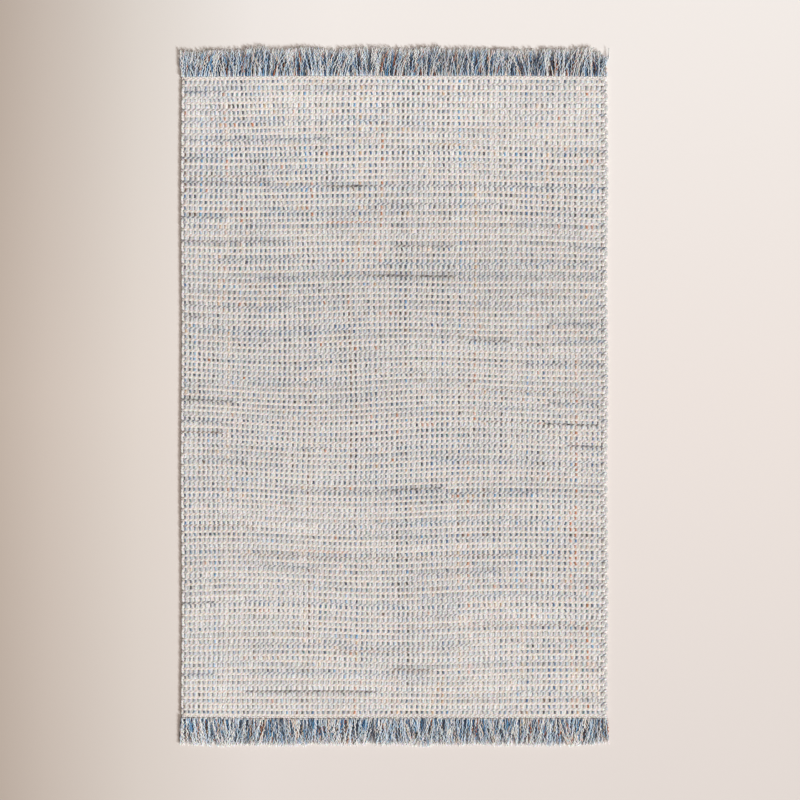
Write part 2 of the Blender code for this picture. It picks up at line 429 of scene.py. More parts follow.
@dataclass
class Skin:
    """A surface in the making.

    Attributes:
        points: the vertices, n x 3.
        faces: arrays of vertex numbers, each m x k for faces of k corners.
        dyes: one linear colour for each vertex, n x 3.
        yarn: for each face corner in order, metres along its yarn and turns round it.
        plan: for each face corner in order, its own place on a flat map from 0 to 1.
        sides: corners of a yarn's profile, or 0 for another surface.
        creases: the profile's corners along which a yarn's surface is creased.
    """

    points: np.ndarray
    faces: list[np.ndarray]
    dyes: np.ndarray
    yarn: np.ndarray
    plan: np.ndarray
    sides: int = 0
    creases: tuple[int, ...] = ()

    def piece(self, name: str, finish: WoolFinish, slot: Slot) -> bpy.types.Object:
        """Make the surface a smooth mesh object at the origin, in its finish, riding on the rug.

        Args:
            name: the object's name.
            finish: what it is made of.
            slot: the record's material slot; not used.

        Returns:
            The object.
        """
        corners = np.concatenate([part.ravel() for part in self.faces])
        totals = np.concatenate([np.full(len(part), part.shape[1]) for part in self.faces])
        mesh = bpy.data.meshes.new(name)
        mesh.vertices.add(len(self.points))
        mesh.vertices.foreach_set("co", self.points.astype(np.float32).ravel())
        mesh.loops.add(len(corners))
        mesh.loops.foreach_set("vertex_index", corners.astype(np.int32))
        mesh.polygons.add(len(totals))
        mesh.polygons.foreach_set("loop_start", (np.cumsum(totals) - totals).astype(np.int32))
        mesh.update(calc_edges=True)
        for label, values in (("yarn", self.yarn), ("OFBake", self.plan)):
            layer = mesh.uv_layers.new(name=label)
            layer.uv.foreach_set("vector", values.astype(np.float32).ravel())
        dye = mesh.color_attributes.new("dye", "FLOAT_COLOR", "POINT")
        rgba = np.concatenate((self.dyes, np.ones((len(self.dyes), 1))), axis=1)
        dye.data.foreach_set("color", rgba.astype(np.float32).ravel())
        mesh.shade_smooth()
        if self.creases:
            self._crease(mesh)
        mesh.materials.append(bpy.data.materials.get(finish.name) or finish.material())
        thing = bpy.data.objects.new(name, mesh)
        bpy.context.scene.collection.objects.link(thing)
        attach(thing, "root")
        triangles = int((totals - 2).sum())
        LOG.info("%s: %d triangles", name, triangles)
        return thing

    def _crease(self, mesh: bpy.types.Mesh) -> None:
        """Mark the edges that run along the yarns at the creased corners of their profile.

        Args:
            mesh: the yarns' mesh, its vertices in rings of the profile's corners.
        """
        ends = np.empty(2 * len(mesh.edges), dtype=np.int32)
        mesh.edges.foreach_get("vertices", ends)
        corners = ends.reshape(-1, 2) % self.sides
        sharp = (corners[:, 0] == corners[:, 1]) & np.isin(corners[:, 0], self.creases)
        mesh.attributes.new("sharp_edge", "BOOLEAN", "EDGE").data.foreach_set("value", sharp)


def ring_profile(sides: int, turn: float = 0.0) -> np.ndarray:
    """Return a closed profile of unit radius: point k stands at the angle turn + 2 pi k / sides."""
    angles = turn + np.arange(sides) * math.tau / sides
    return np.stack((np.cos(angles), np.sin(angles)), axis=1)


def yarn_skin(
    paths: np.ndarray,
    across: np.ndarray,
    over: np.ndarray,
    dyes: np.ndarray,
    sides: int = 6,
    turn: float = 0.0,
    shelves: int = 1,
    creases: tuple[int, ...] = (),
) -> Skin:
    """Carry a closed profile along many yarns' paths at once.

    Point (i, j, k) is ring j's middle on yarn i, plus the profile's x times that ring's across vector, plus
    the profile's y times its over vector. Each ring is joined to the next, and the two end rings are closed.

    Args:
        paths: yarns x rings x 3, the rings' middles.
        across: the same shape, half the yarn's width as a vector. Across x over points along the path.
        over: the same shape, half the yarn's thickness as a vector.
        dyes: the same shape, each ring's linear colour.
        sides: corners of the profile.
        turn: angle of its first corner.
        shelves: how many yarns share a strip of the flat map, end to end.
        creases: corners of the profile where the surface is creased along the yarn.

    Returns:
        The skin of all the yarns.
    """
    profile = ring_profile(sides, turn)
    yarns, rings, _ = paths.shape
    points = (
        paths[:, :, None, :]
        + profile[None, None, :, :1] * across[:, :, None, :]
        + profile[None, None, :, 1:] * over[:, :, None, :]
    )
    number = np.arange(yarns * rings * sides).reshape(yarns, rings, sides)
    following = np.roll(number, -1, axis=2)
    walls = np.stack((number[:, :-1], following[:, :-1], following[:, 1:], number[:, 1:]), axis=-1)
    steps = np.linalg.norm(np.diff(paths, axis=1), axis=2)
    metres = np.concatenate((np.zeros((yarns, 1)), np.cumsum(steps, axis=1)), axis=1)
    share = np.broadcast_to(np.linspace(0.0, 1.0, rings), (yarns, rings))
    rounds = np.arange(sides + 1) / sides

    def corner_pairs(along: np.ndarray) -> np.ndarray:
        """Pair how far along and how far round each wall corner is, in the walls' own order.

        Args:
            along: how far along each ring is, as yarns x rings.

        Returns:
            The pairs, one for each corner of each wall.
        """
        a = np.broadcast_to(along[:, :-1, None], walls.shape[:3])
        b = np.broadcast_to(along[:, 1:, None], walls.shape[:3])
        low = np.broadcast_to(rounds[:-1], walls.shape[:3])
        high = np.broadcast_to(rounds[1:], walls.shape[:3])
        ends = [np.stack(pair, axis=-1) for pair in ((a, low), (a, high), (b, high), (b, low))]
        return np.stack(ends, axis=3)

    disc = profile * [CAP_SHARE / 2, 0.4] + [0.0, 0.5]
    near_cap = np.broadcast_to(disc[::-1] - [CAP_SHARE, 0.0], (yarns, sides, 2))
    far_cap = np.broadcast_to(disc + [1.0 + CAP_SHARE, 0.0], (yarns, sides, 2))
    plan = np.concatenate(
        [
            on_shelf(corner_pairs(share).reshape(yarns, -1, 2), shelves).reshape(-1, 2),
            on_shelf(near_cap, shelves).reshape(-1, 2),
            on_shelf(far_cap, shelves).reshape(-1, 2),
        ]
    )
    cap_yarn = np.broadcast_to(np.stack((0.0 * rounds[:-1], rounds[:-1]), axis=-1), (2 * yarns, sides, 2))
    yarn = np.concatenate((corner_pairs(metres).reshape(-1, 2), cap_yarn.reshape(-1, 2)))
    return Skin(
        points=points.reshape(-1, 3),
        faces=[walls.reshape(-1, 4), number[:, 0, ::-1], number[:, -1]],
        dyes=np.broadcast_to(dyes[:, :, None, :], points.shape).reshape(-1, 3),
        yarn=yarn,
        plan=plan,
        sides=sides,
        creases=creases,
    )


def on_shelf(pairs: np.ndarray, shelves: int) -> np.ndarray:
    """Lay each yarn's own 0 to 1 map into its strip of the shared map, shelves yarns to a strip.

    Args:
        pairs: yarns x corners x 2, along and around.
        shelves: yarns that lie end to end in a strip.

    Returns:
        The same shape, with every yarn in its own place.
    """
    yarns = len(pairs)
    strips = -(-yarns // shelves)
    turn = np.arange(yarns)
    low = np.stack((turn % shelves, turn // shelves), axis=-1)[:, None, :]
    inner = SHELF_MARGIN + (1.0 - 2.0 * SHELF_MARGIN) * pairs
    return (low + inner) / [shelves, strips]


def smooth_noise(rng: np.random.Generator, shape: tuple[int, int], step: tuple[float, float]) -> np.ndarray:
    """Return random patches from -1 to 1.

    Random values stand on a coarse net, one knot every step cells, and cells between knots take the eased
    mean of the four knots about them.

    Args:
        rng: the random source.
        shape: cells along each axis.
        step: cells between knots along each axis.

    Returns:
        An array of that shape.
    """
    knots = rng.uniform(-1.0, 1.0, [int(size / gap) + 3 for size, gap in zip(shape, step)])
    places = [np.arange(size) / gap for size, gap in zip(shape, step)]
    lows = [place.astype(int) for place in places]
    shares = [place - low for place, low in zip(places, lows)]
    u, v = [share * share * (3.0 - 2.0 * share) for share in shares]
    i, j = lows
    near = knots[np.ix_(i, j)] * (1 - v) + knots[np.ix_(i, j + 1)] * v
    far = knots[np.ix_(i + 1, j)] * (1 - v) + knots[np.ix_(i + 1, j + 1)] * v
    return near * (1 - u[:, None]) + far * u[:, None]


def mixed(under: np.ndarray, shade: np.ndarray, share: np.ndarray | float) -> np.ndarray:
    """Return under blended towards shade by share, colour by colour."""
    weight = np.asarray(share)[..., None]
    return under * (1.0 - weight) + shade * weight


def picked_shades(
    rng: np.random.Generator, weights: tuple[tuple[Shade, int], ...], shape: tuple[int, ...]
) -> np.ndarray:
    """Draw shades at random by their weights.

    Args:
        rng: the random source.
        weights: each shade with its weight.
        shape: how many are drawn, along each axis.

    Returns:
        The linear colours, shape x 3.
    """
    table = np.array([shade.linear for shade, _ in weights])
    chances = np.array([weight for _, weight in weights], dtype=float)
    return table[rng.choice(len(table), shape, p=chances / chances.sum())]


def weighted(**weights: int) -> tuple[tuple[Shade, int], ...]:
    """Return shades with their weights, from the shades' names."""
    return tuple((Shade[name], weight) for name, weight in weights.items())


def crosswise(
    x: np.ndarray, y: np.ndarray, z: np.ndarray, wide: np.ndarray | float, thick: np.ndarray | float
) -> tuple[np.ndarray, np.ndarray, np.ndarray]:
    """Set up yarns that run along X.

    Args:
        x: X of the rings' middles, as yarns x rings.
        y: their Y.
        z: their Z.
        wide: half the yarn's width along Y.
        thick: half its thickness along Z.

    Returns:
        The path, across and over arrays that yarn_skin takes.
    """
    zero = 0 * x
    across = np.stack((zero, wide + zero, zero), axis=-1)
    over = np.stack((zero, zero, thick + zero), axis=-1)
    return np.stack((x, y, z), axis=-1), across, over


def dealt(
    name: str,
    sets: int,
    yarns: tuple[np.ndarray, ...],
    finish: WoolFinish,
    sides: int,
    turn: float = 0.0,
    creases: tuple[int, ...] = (),
) -> list[bpy.types.Object]:
    """Deal yarns of the field out in turn to a few objects.

    Args:
        name: the objects' name, before their number.
        sets: how many objects there are.
        yarns: the path, across, over and dyes arrays that yarn_skin takes.
        finish: what they are made of.
        sides: corners of their profile.
        turn: angle of its first corner.
        creases: corners of the profile where the surface is creased along the yarn.

    Returns:
        The objects.
    """
    pieces = []
    for start in range(sets):
        skin = yarn_skin(*(part[start::sets] for part in yarns), sides=sides, turn=turn, creases=creases)
        pieces.append(skin.piece(f"{name}_{start + 1}", finish, Slot.FIELD))
    return pieces


@dataclass(frozen=True)
class Tuft:
    """A place where the fringe reaches further out, or less far, than its mean."""

    x: float
    extra: float
    half_width: float


@dataclass(frozen=True)
class Lean:
    """One slow sideways wave in the way the fringe lies."""

    reach: float
    wavelength: float
    phase: float


@dataclass(frozen=True)
class End:
    """One end of the rug: how its edge line strays and how its fringe lies."""

    name: str
    side: int
    reach: float
    root_cream: float
    root_rise: float
    root_offset: float
    tip_rise: float
    lightness: float
    edge: tuple[float, ...]
    leans: tuple[Lean, ...]
    tufts: tuple[Tuft, ...]


FAR_END = End(
    name="far",
    side=1,
    reach=0.098,
    root_cream=0.0,
    root_rise=2.0 * MM,
    root_offset=2.4 * MM,
    tip_rise=3.0 * MM,
    lightness=1.07,
    edge=(-0.003, 0.001, 0.001, 0.0015, -0.0015),
    leans=(Lean(0.009, 0.26, 0.4), Lean(0.005, 0.17, 2.1)),
    tufts=(
        Tuft(-0.700, -0.006, 0.040),
        Tuft(-0.495, 0.011, 0.035),
        Tuft(-0.310, 0.009, 0.030),
        Tuft(-0.090, 0.005, 0.045),
        Tuft(0.127, 0.010, 0.035),
        Tuft(0.400, -0.005, 0.060),
        Tuft(0.660, 0.006, 0.030),
        Tuft(0.750, -0.024, 0.022),
    ),
)

NEAR_END = End(
    name="near",
    side=-1,
    reach=0.101,
    root_cream=0.8,
    root_rise=5.0 * MM,
    root_offset=0.4 * MM,
    tip_rise=0.0,
    lightness=1.10,
    edge=(0.003, -0.0015, 0.001, 0.0, 0.0),
    leans=(Lean(0.008, 0.31, 1.3), Lean(0.004, 0.15, 0.2)),
    tufts=(
        Tuft(-0.640, 0.004, 0.050),
        Tuft(-0.250, -0.003, 0.080),
        Tuft(0.100, 0.003, 0.060),
        Tuft(0.550, 0.004, 0.040),
        Tuft(0.745, -0.008, 0.020),
    ),
)


@dataclass
class Loom:
    """Where the yarns of the field lie, worked out from the framed solids.

    A place along the field is its line, from -1 at the near end to 1 at the far end.
    """

    rows: int = 110
    columns: int = 81
    left_margin: float = 15.4 * MM
    right_margin: float = 37.0 * MM
    pitch_left: float = 0.945
    pitch_right: float = 1.055
    column_unevenness: float = 0.07
    row_unevenness: float = 0.05
    row_bow: float = 4.2 * MM
    wander: float = 1.5 * MM
    ripple_count: int = 7
    row_ripple: float = 1.7 * MM
    column_ripple: float = 3.2 * MM
    beat_places: tuple[float, ...] = (0.0, 0.18, 0.36, 0.50, 0.66, 1.0)
    beat_pitches: tuple[float, ...] = (1.02, 1.03, 0.94, 0.94, 1.03, 1.04)
    seed: int = 5
    middle_x: float = field(init=False)
    half_width: float = field(init=False)
    middle_y: float = field(init=False)
    half_length: float = field(init=False)
    row_starts: np.ndarray = field(init=False)
    column_places: np.ndarray = field(init=False)
    ripples: np.ndarray = field(init=False)

    def __post_init__(self) -> None:
        """Read the cloth's box from the frame and place the rows and columns in it."""
        low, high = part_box("heading_far")
        self.middle_x, self.half_width = (low[0] + high[0]) / 2, (high[0] - low[0]) / 2
        low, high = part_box("woven_field")
        near, far = low[1] - min(NEAR_END.edge), high[1] - max(FAR_END.edge)
        self.middle_y, self.half_length = (near + far) / 2, (far - near) / 2
        middles = (np.arange(self.rows) + 0.5) / self.rows
        pitches = np.interp(middles, self.beat_places, self.beat_pitches)
        starts = np.concatenate(([0.0], np.cumsum(pitches)))
        rng = np.random.default_rng(self.seed)
        starts[1:-1] += self.row_unevenness * rng.normal(0.0, 1.0, self.rows - 1)
        self.row_starts = 2.0 * starts / starts[-1] - 1.0
        gaps = np.linspace(self.pitch_left, self.pitch_right, self.columns - 1)
        gaps = gaps * (1.0 + self.column_unevenness * rng.normal(0.0, 1.0, self.columns - 1))
        share = np.concatenate(([0.0], np.cumsum(gaps))) / gaps.sum()
        low_x = -self.half_width + self.left_margin
        self.column_places = low_x + share * (2 * self.half_width - self.left_margin - self.right_margin)
        self.ripples = rng.uniform([0.4, 0.5, 0.0], [2.6, 3.2, math.tau], (2, self.ripple_count, 3))

    def line_in_row(self, share: float) -> np.ndarray:
        """Return the line at that share across each row, from 0 at its near side to 1 at its far side."""
        return self.row_starts[:-1] + share * np.diff(self.row_starts)

    def ripple(self, which: int, column: np.ndarray, line: np.ndarray) -> np.ndarray:
        """Add up sines, each with its own waves across and along, as a slow unevenness.

        Args:
            which: 0 for the rows' ripples, 1 for the columns'.
            column: the place across, from -1 to 1.
            line: the place along, from -1 to 1.

        Returns:
            The sum at each place.
        """
        angles = [
            math.pi * (across * column + along * line) + phase for across, along, phase in self.ripples[which]
        ]
        return sum(np.sin(angle) for angle in angles)

    def y_at(self, line: np.ndarray, x: np.ndarray) -> np.ndarray:
        """Work out a line's real Y at X.

        Y is the line's share of the half length, plus a slow bow and a ripple that fade at both ends, plus
        the stray of the nearer end's edge, which fades fast along the field.

        Args:
            line: the line.
            x: the real X.

        Returns:
            The real Y.
        """
        column = (x - self.middle_x) / self.half_width
        places = np.linspace(-1.0, 1.0, len(FAR_END.edge))
        far_stray = np.interp(column, places, FAR_END.edge)
        near_stray = np.interp(column, places, NEAR_END.edge)
        bow = self.row_bow * np.sin(1.4 * math.pi * column + 2.2 * line) * (1.0 - line**2)
        stray = np.where(line > 0, far_stray, near_stray) * np.abs(line) ** 6
        ripple = self.row_ripple * self.ripple(0, column, line) * (1.0 - line**6)
        return self.middle_y + line * self.half_length + bow + stray + ripple

    def edge_x(self, side: int, line: np.ndarray) -> np.ndarray:
        """Return the selvedge's X at a line, on side -1 or 1: the cloth's half width and a slow wander."""
        waves, shift = (3.1, 1.0) if side > 0 else (2.3, 0.0)
        return self.middle_x + side * self.half_width + self.wander * np.sin(math.pi * waves * line + shift)

    def warp_x(self, rows: np.ndarray) -> np.ndarray:
        """Work out each warp's X: its place, moved with the selvedges by its share across, and a ripple.

        Args:
            rows: numbers of row starts.

        Returns:
            The real X, as columns x rows.
        """
        lines = self.row_starts[rows]
        share = (self.column_places[:, None] + self.half_width) / (2 * self.half_width)
        left = self.edge_x(-1, lines) + self.half_width - self.middle_x
        right = self.edge_x(1, lines) - self.half_width - self.middle_x
        column = self.column_places[:, None] / self.half_width
        ripple = self.column_ripple * self.ripple(1, column, lines[None, :]) * (1.0 - column**6)
        return self.middle_x + self.column_places[:, None] + left * (1 - share) + right * share + ripple


@dataclass(frozen=True)
class Streak:
    """A stretch of binding weft dyed otherwise: its row start, its reach as shares across, and its shade."""

    row: int
    start: float
    stop: float
    shade: Shade
    strength: float


STREAKS = (
    Streak(108, 0.00, 0.11, Shade.SLATE, 0.9),
    Streak(108, 0.16, 0.30, Shade.OAT, 0.5),
    Streak(105, 0.00, 0.12, Shade.SLATE, 0.5),
    Streak(103, 0.00, 0.46, Shade.BLUE_GREY, 0.65),
    Streak(100, 0.00, 0.36, Shade.SLATE, 0.85),
    Streak(99, 0.58, 0.66, Shade.TAN, 0.7),
    Streak(97, 0.00, 0.10, Shade.SLATE, 0.8),
    Streak(94, 0.02, 0.18, Shade.BROWN, 0.6),
    Streak(93, 0.00, 0.22, Shade.NAVY, 0.7),
    Streak(92, 0.20, 0.34, Shade.BLUE_GREY, 0.8),
    Streak(92, 0.34, 0.46, Shade.CHARCOAL, 0.95),
    Streak(92, 0.46, 1.00, Shade.SLATE, 0.75),
    Streak(89, 0.46, 0.76, Shade.SLATE, 0.7),
    Streak(88, 0.20, 0.42, Shade.BLUE_GREY, 0.6),
    Streak(87, 0.00, 0.10, Shade.SLATE, 0.8),
    Streak(86, 0.34, 0.45, Shade.RUST, 0.7),
    Streak(83, 0.00, 0.26, Shade.NAVY, 0.75),
    Streak(82, 0.50, 0.64, Shade.CHARCOAL, 0.7),
    Streak(82, 0.90, 1.00, Shade.SLATE, 0.8),
    Streak(80, 0.08, 0.28, Shade.SLATE, 0.6),
    Streak(79, 0.46, 0.96, Shade.BLUE_GREY, 0.8),
    Streak(77, 0.17, 0.44, Shade.SLATE, 0.85),
    Streak(77, 0.44, 0.64, Shade.CHARCOAL, 0.95),
    Streak(77, 0.64, 1.00, Shade.SLATE, 0.7),
    Streak(74, 0.80, 0.88, Shade.BROWN, 0.5),
    Streak(72, 0.00, 0.27, Shade.SLATE, 0.75),
    Streak(70, 0.00, 0.07, Shade.NAVY, 0.7),
    Streak(69, 0.86, 1.00, Shade.SLATE, 0.8),
    Streak(68, 0.00, 0.40, Shade.BLUE_GREY, 0.75),
    Streak(66, 0.67, 0.77, Shade.CHARCOAL, 0.85),
    Streak(66, 0.88, 1.00, Shade.BLUE_GREY, 0.8),
    Streak(62, 0.80, 1.00, Shade.SLATE, 0.75),
    Streak(59, 0.10, 0.34, Shade.BLUE_GREY, 0.6),
    Streak(57, 0.70, 0.94, Shade.BROWN, 0.6),
    Streak(55, 0.00, 0.13, Shade.CHARCOAL, 0.85),
    Streak(55, 0.86, 0.99, Shade.SLATE, 0.85),
    Streak(51, 0.00, 0.10, Shade.SLATE, 0.85),
    Streak(51, 0.70, 0.83, Shade.BROWN, 0.6),
    Streak(51, 0.83, 0.85, Shade.RUST, 0.9),
    Streak(51, 0.85, 0.98, Shade.CHARCOAL, 0.95),
    Streak(49, 0.00, 0.10, Shade.BROWN, 0.85),
    Streak(47, 0.28, 0.35, Shade.SLATE, 0.7),
    Streak(47, 0.90, 1.00, Shade.NAVY, 0.85),
    Streak(44, 0.00, 0.16, Shade.SLATE, 0.7),
    Streak(44, 0.60, 0.97, Shade.BLUE_GREY, 0.65),
    Streak(39, 0.24, 0.48, Shade.SLATE, 0.7),
    Streak(39, 0.48, 0.62, Shade.CHARCOAL, 0.9),
    Streak(38, 0.62, 0.84, Shade.SLATE, 0.75),
    Streak(33, 0.46, 0.86, Shade.ASH, 0.9),
    Streak(32, 0.00, 0.17, Shade.BROWN, 0.65),
    Streak(28, 0.26, 0.39, Shade.RUST, 0.45),
    Streak(27, 0.14, 0.90, Shade.BROWN, 0.55),
    Streak(25, 0.18, 0.32, Shade.SLATE, 0.6),
    Streak(24, 0.55, 0.75, Shade.SLATE, 0.65),
    Streak(20, 0.56, 0.96, Shade.BLUE_GREY, 0.65),
    Streak(19, 0.00, 0.08, Shade.NAVY, 0.8),
    Streak(19, 0.15, 0.52, Shade.BLUE_GREY, 0.65),
    Streak(17, 0.49, 0.65, Shade.SLATE, 0.6),
    Streak(15, 0.52, 0.97, Shade.BROWN, 0.45),
    Streak(12, 0.17, 0.68, Shade.SLATE, 0.55),
    Streak(11, 0.36, 0.56, Shade.BROWN, 0.6),
    Streak(8, 0.49, 0.59, Shade.BROWN, 0.9),
    Streak(7, 0.00, 0.08, Shade.SLATE, 0.8),
    Streak(7, 0.16, 0.57, Shade.BLUE_GREY, 0.7),
    Streak(4, 0.15, 0.46, Shade.CHARCOAL, 0.85),
    Streak(4, 0.78, 0.88, Shade.ASH, 0.8),
)


@dataclass
class DyePlan:
    """How the yarns are dyed: warp flecks in stretches of grey, blue and rust, and the weft in cream."""

    loom: Loom
    seed: int = 21
    fleck_shades: tuple[tuple[Shade, int], ...] = weighted(
        ASH=20, BLUE_GREY=30, SLATE=30, CHARCOAL=4, NAVY=4, DENIM=5, SKY=3, TEAL=3, RUST=2,
        TAN=3, BROWN=3,
    )
    column_stretch: float = 18.0
    row_stretch: float = 3.5
    column_share: float = 0.52
    row_share: float = 0.22
    paleness: float = 0.33
    patch_tone: float = 0.20
    patch_step: tuple[float, float] = (12.0, 15.0)
    run_tone: float = 0.12
    run_step: tuple[float, float] = (1.0, 24.0)
    column_tone: float = 0.07
    row_tone: float = 0.11
    fleck_tone: float = 0.11
    fade_range: tuple[float, float] = (0.10, 0.62)
    end_tone: float = 0.14
    end_range: tuple[float, float] = (0.6, 1.4)
    blush_share: float = 0.16
    blush_tone: float = 0.4
    blush_step: tuple[float, float] = (1.0, 18.0)
    ash_share: float = 0.02
    ash_tone: float = 0.55
    ash_step: tuple[float, float] = (1.0, 15.0)
    ash_most: float = 0.6
    streak_ease: float = 0.012
    streak_wear: float = 0.6
    oat_draw: tuple[float, float] = (0.14, 0.28)
    grey_draw: tuple[float, float] = (0.06, 0.16)
    grey_tone: float = 0.20
    grey_step: tuple[float, float] = (9.0, 11.0)
    grey_most: float = 0.7
    weft_light: tuple[float, float] = (0.905, 0.05)
    weft_row_tone: float = 0.045
    weft_run_tone: float = 0.085
    weft_run_step: tuple[float, float] = (1.0, 26.0)
    weft_patch_tone: float = 0.05
    weft_patch_step: tuple[float, float] = (9.0, 10.0)
    weft_range: tuple[float, float] = (0.75, 1.05)
    pinch_painted_shade: float = 0.35
    darkening: float = 0.95
    light_places: tuple[float, ...] = (-1.0, -0.6, -0.3, 0.0, 0.3, 0.6, 1.0)
    light_gains: tuple[float, ...] = (1.035, 0.985, 0.955, 0.935, 0.90, 0.97, 1.085)

    def light_at(self, lines: np.ndarray) -> np.ndarray:
        """Return how light the wool is at each line, as a gain: the two ends are a little paler."""
        return np.interp(lines, self.light_places, self.light_gains)

    def warp_dyes(self) -> np.ndarray:
        """Dye each warp's fleck over each row.

        Every cell takes the shade of a stretch of its warp, or of a short run of its row, or one of its own.
        The shade then fades towards cream by broad patches and fine noise, and its two ends differ a little.

        Returns:
            The colours, as columns x rows x 2 x 3.
        """
        loom = self.loom
        rng = np.random.default_rng(self.seed)
        shape = (loom.columns, loom.rows)
        table = np.array([shade.linear for shade, _ in self.fleck_shades]) * self.darkening
        chances = np.array([chance for _, chance in self.fleck_shades])
        chances = chances / chances.sum()
        picks = rng.choice(len(table), (3, *shape), p=chances)
        column_runs = np.cumsum(rng.random(shape) < 1.0 / self.column_stretch, axis=1)
        row_runs = np.cumsum(rng.random(shape) < 1.0 / self.row_stretch, axis=0)
        by_column = np.take_along_axis(picks[0], np.minimum(column_runs, loom.rows - 1), axis=1)
        by_row = np.take_along_axis(picks[1], np.minimum(row_runs, loom.columns - 1), axis=0)
        chance = rng.random(shape)
        own = np.where(chance < self.column_share + self.row_share, by_row, picks[2])
        pick = np.where(chance < self.column_share, by_column, own)
        patches = self.patch_tone * smooth_noise(rng, shape, self.patch_step)
        patches = patches + self.run_tone * smooth_noise(rng, shape, self.run_step)
        stripes = self.column_tone * rng.normal(0.0, 1.0, (loom.columns, 1))
        stripes = stripes + self.row_tone * rng.normal(0.0, 1.0, (1, loom.rows))
        fade = self.paleness + patches + stripes + rng.normal(0.0, self.fleck_tone, shape)
        dyes = mixed(table[pick], Shade.CREAM.linear, np.clip(fade, *self.fade_range))
        ends = np.clip(rng.normal(1.0, self.end_tone, (*shape, 2, 1)), *self.end_range)
        light = self.light_at(loom.line_in_row(0.5))[None, :, None, None]
        return dyes[:, :, None, :] * ends * light

    def binding_dyes(self, shares: np.ndarray) -> np.ndarray:
        """Dye the binding weft: blush, oat and ash by slow noise, with its dark stretches and paler ends.

        Args:
            shares: the rings' places across the rug, from 0 to 1.

        Returns:
            The colours, as lines x shares x 3.
        """
        rng = np.random.default_rng(self.seed + 1)
        shape = (self.loom.rows + 1, len(shares))
        cream, oat, slate = Shade.CREAM.linear, Shade.OAT.linear, Shade.SLATE.linear
        blush = self.blush_share + self.blush_tone * smooth_noise(rng, shape, self.blush_step)
        dyes = mixed(oat, Shade.BLUSH.linear, blush)
        ash = self.ash_share + self.ash_tone * smooth_noise(rng, shape, self.ash_step)
        dyes = mixed(dyes, Shade.ASH.linear, np.clip(ash, 0.0, self.ash_most))
        even_lines, odd_lines = dyes[0::2], dyes[1::2]
        count = len(even_lines)
        even_lines[:, 0] = mixed(even_lines[:, 0], slate, rng.uniform(0.0, 0.9, count))
        odd_lines[:, 0] = mixed(cream, oat, 0.3)
        even_lines[:, -3] = mixed(even_lines[:, -3], slate, rng.uniform(0.4, 0.9, count))
        # The right ends are oat rather than cream: a painted shade that dims the lit caps of the odd lines,
        # though still paler than the rest of the line.
        dyes[:, -2:] = mixed(cream, oat, 0.8)
        even_lines[:, -2:] = mixed(even_lines[:, -2:], slate, rng.uniform(0.1, 0.8, (count, 1)))
        odd_lines[:, -3] = mixed(cream, oat, 0.6)
        for streak in STREAKS:
            depth = np.minimum(shares - streak.start, streak.stop - shares)
            inside = np.clip(depth / self.streak_ease + 0.5, 0.0, 1.0)
            worn = streak.strength * rng.uniform(self.streak_wear, 1.0, len(shares))
            dyes[streak.row] = mixed(dyes[streak.row], streak.shade.linear, inside * worn)
        return dyes * self.light_at(self.loom.row_starts)[:, None, None]

    def weft_dyes(self, pebble: np.ndarray, swell: np.ndarray) -> np.ndarray:
        """Dye the thick weft: cream, each swell in a tone of its own, with a warm painted shade at the
        pinches beside the warps.

        Args:
            pebble: the number of the swell that each ring belongs to, one row's worth.
            swell: how far each ring is swollen, from 0 at a pinch to 1, as rows x rings.

        Returns:
            The colours, as rows x rings x 3.
        """
        rng = np.random.default_rng(self.seed + 2)
        tones = (swell.shape[0], pebble.max() + 1)
        oat = np.clip(rng.normal(*self.oat_draw, tones), 0.0, 1.0)
        grey = rng.normal(*self.grey_draw, tones) + self.grey_tone * smooth_noise(rng, tones, self.grey_step)
        light = rng.normal(*self.weft_light, tones) + rng.normal(0.0, self.weft_row_tone, (tones[0], 1))
        light = (
            light
            + self.weft_run_tone * smooth_noise(rng, tones, self.weft_run_step)
            + self.weft_patch_tone * smooth_noise(rng, tones, self.weft_patch_step)
        )
        light = np.clip(light, *self.weft_range) * self.light_at(self.loom.line_in_row(0.5))[:, None]
        dyes = mixed(Shade.CREAM.linear, Shade.OAT.linear, oat)
        dyes = mixed(dyes, Shade.PALE_GREY.linear, np.clip(grey, 0.0, self.grey_most)) * light[..., None]
        # Painted shade: each ring is blended towards blush as it nears a pinch, where the weft dips beside a
        # warp.
        return mixed(dyes[:, pebble], Shade.BLUSH.linear, self.pinch_painted_shade * (1.0 - swell) ** 2)


FIELD_WOOL = WoolFinish("field_yarn")
THIN_WOOL = WoolFinish("thin_yarn", ply_pitch=17.0 * MM, ply_depth=0.3 * MM, pale_ply=0.75)
WARP_WOOL = WoolFinish("warp_yarn", ply_pitch=6.0 * MM, ply_depth=0.4 * MM, heather=0.3)
FRINGE_WOOL = WoolFinish("fringe_yarn", ply_pitch=4.0 * MM, ply_depth=0.25 * MM, heather=0.3, softness=0.3)


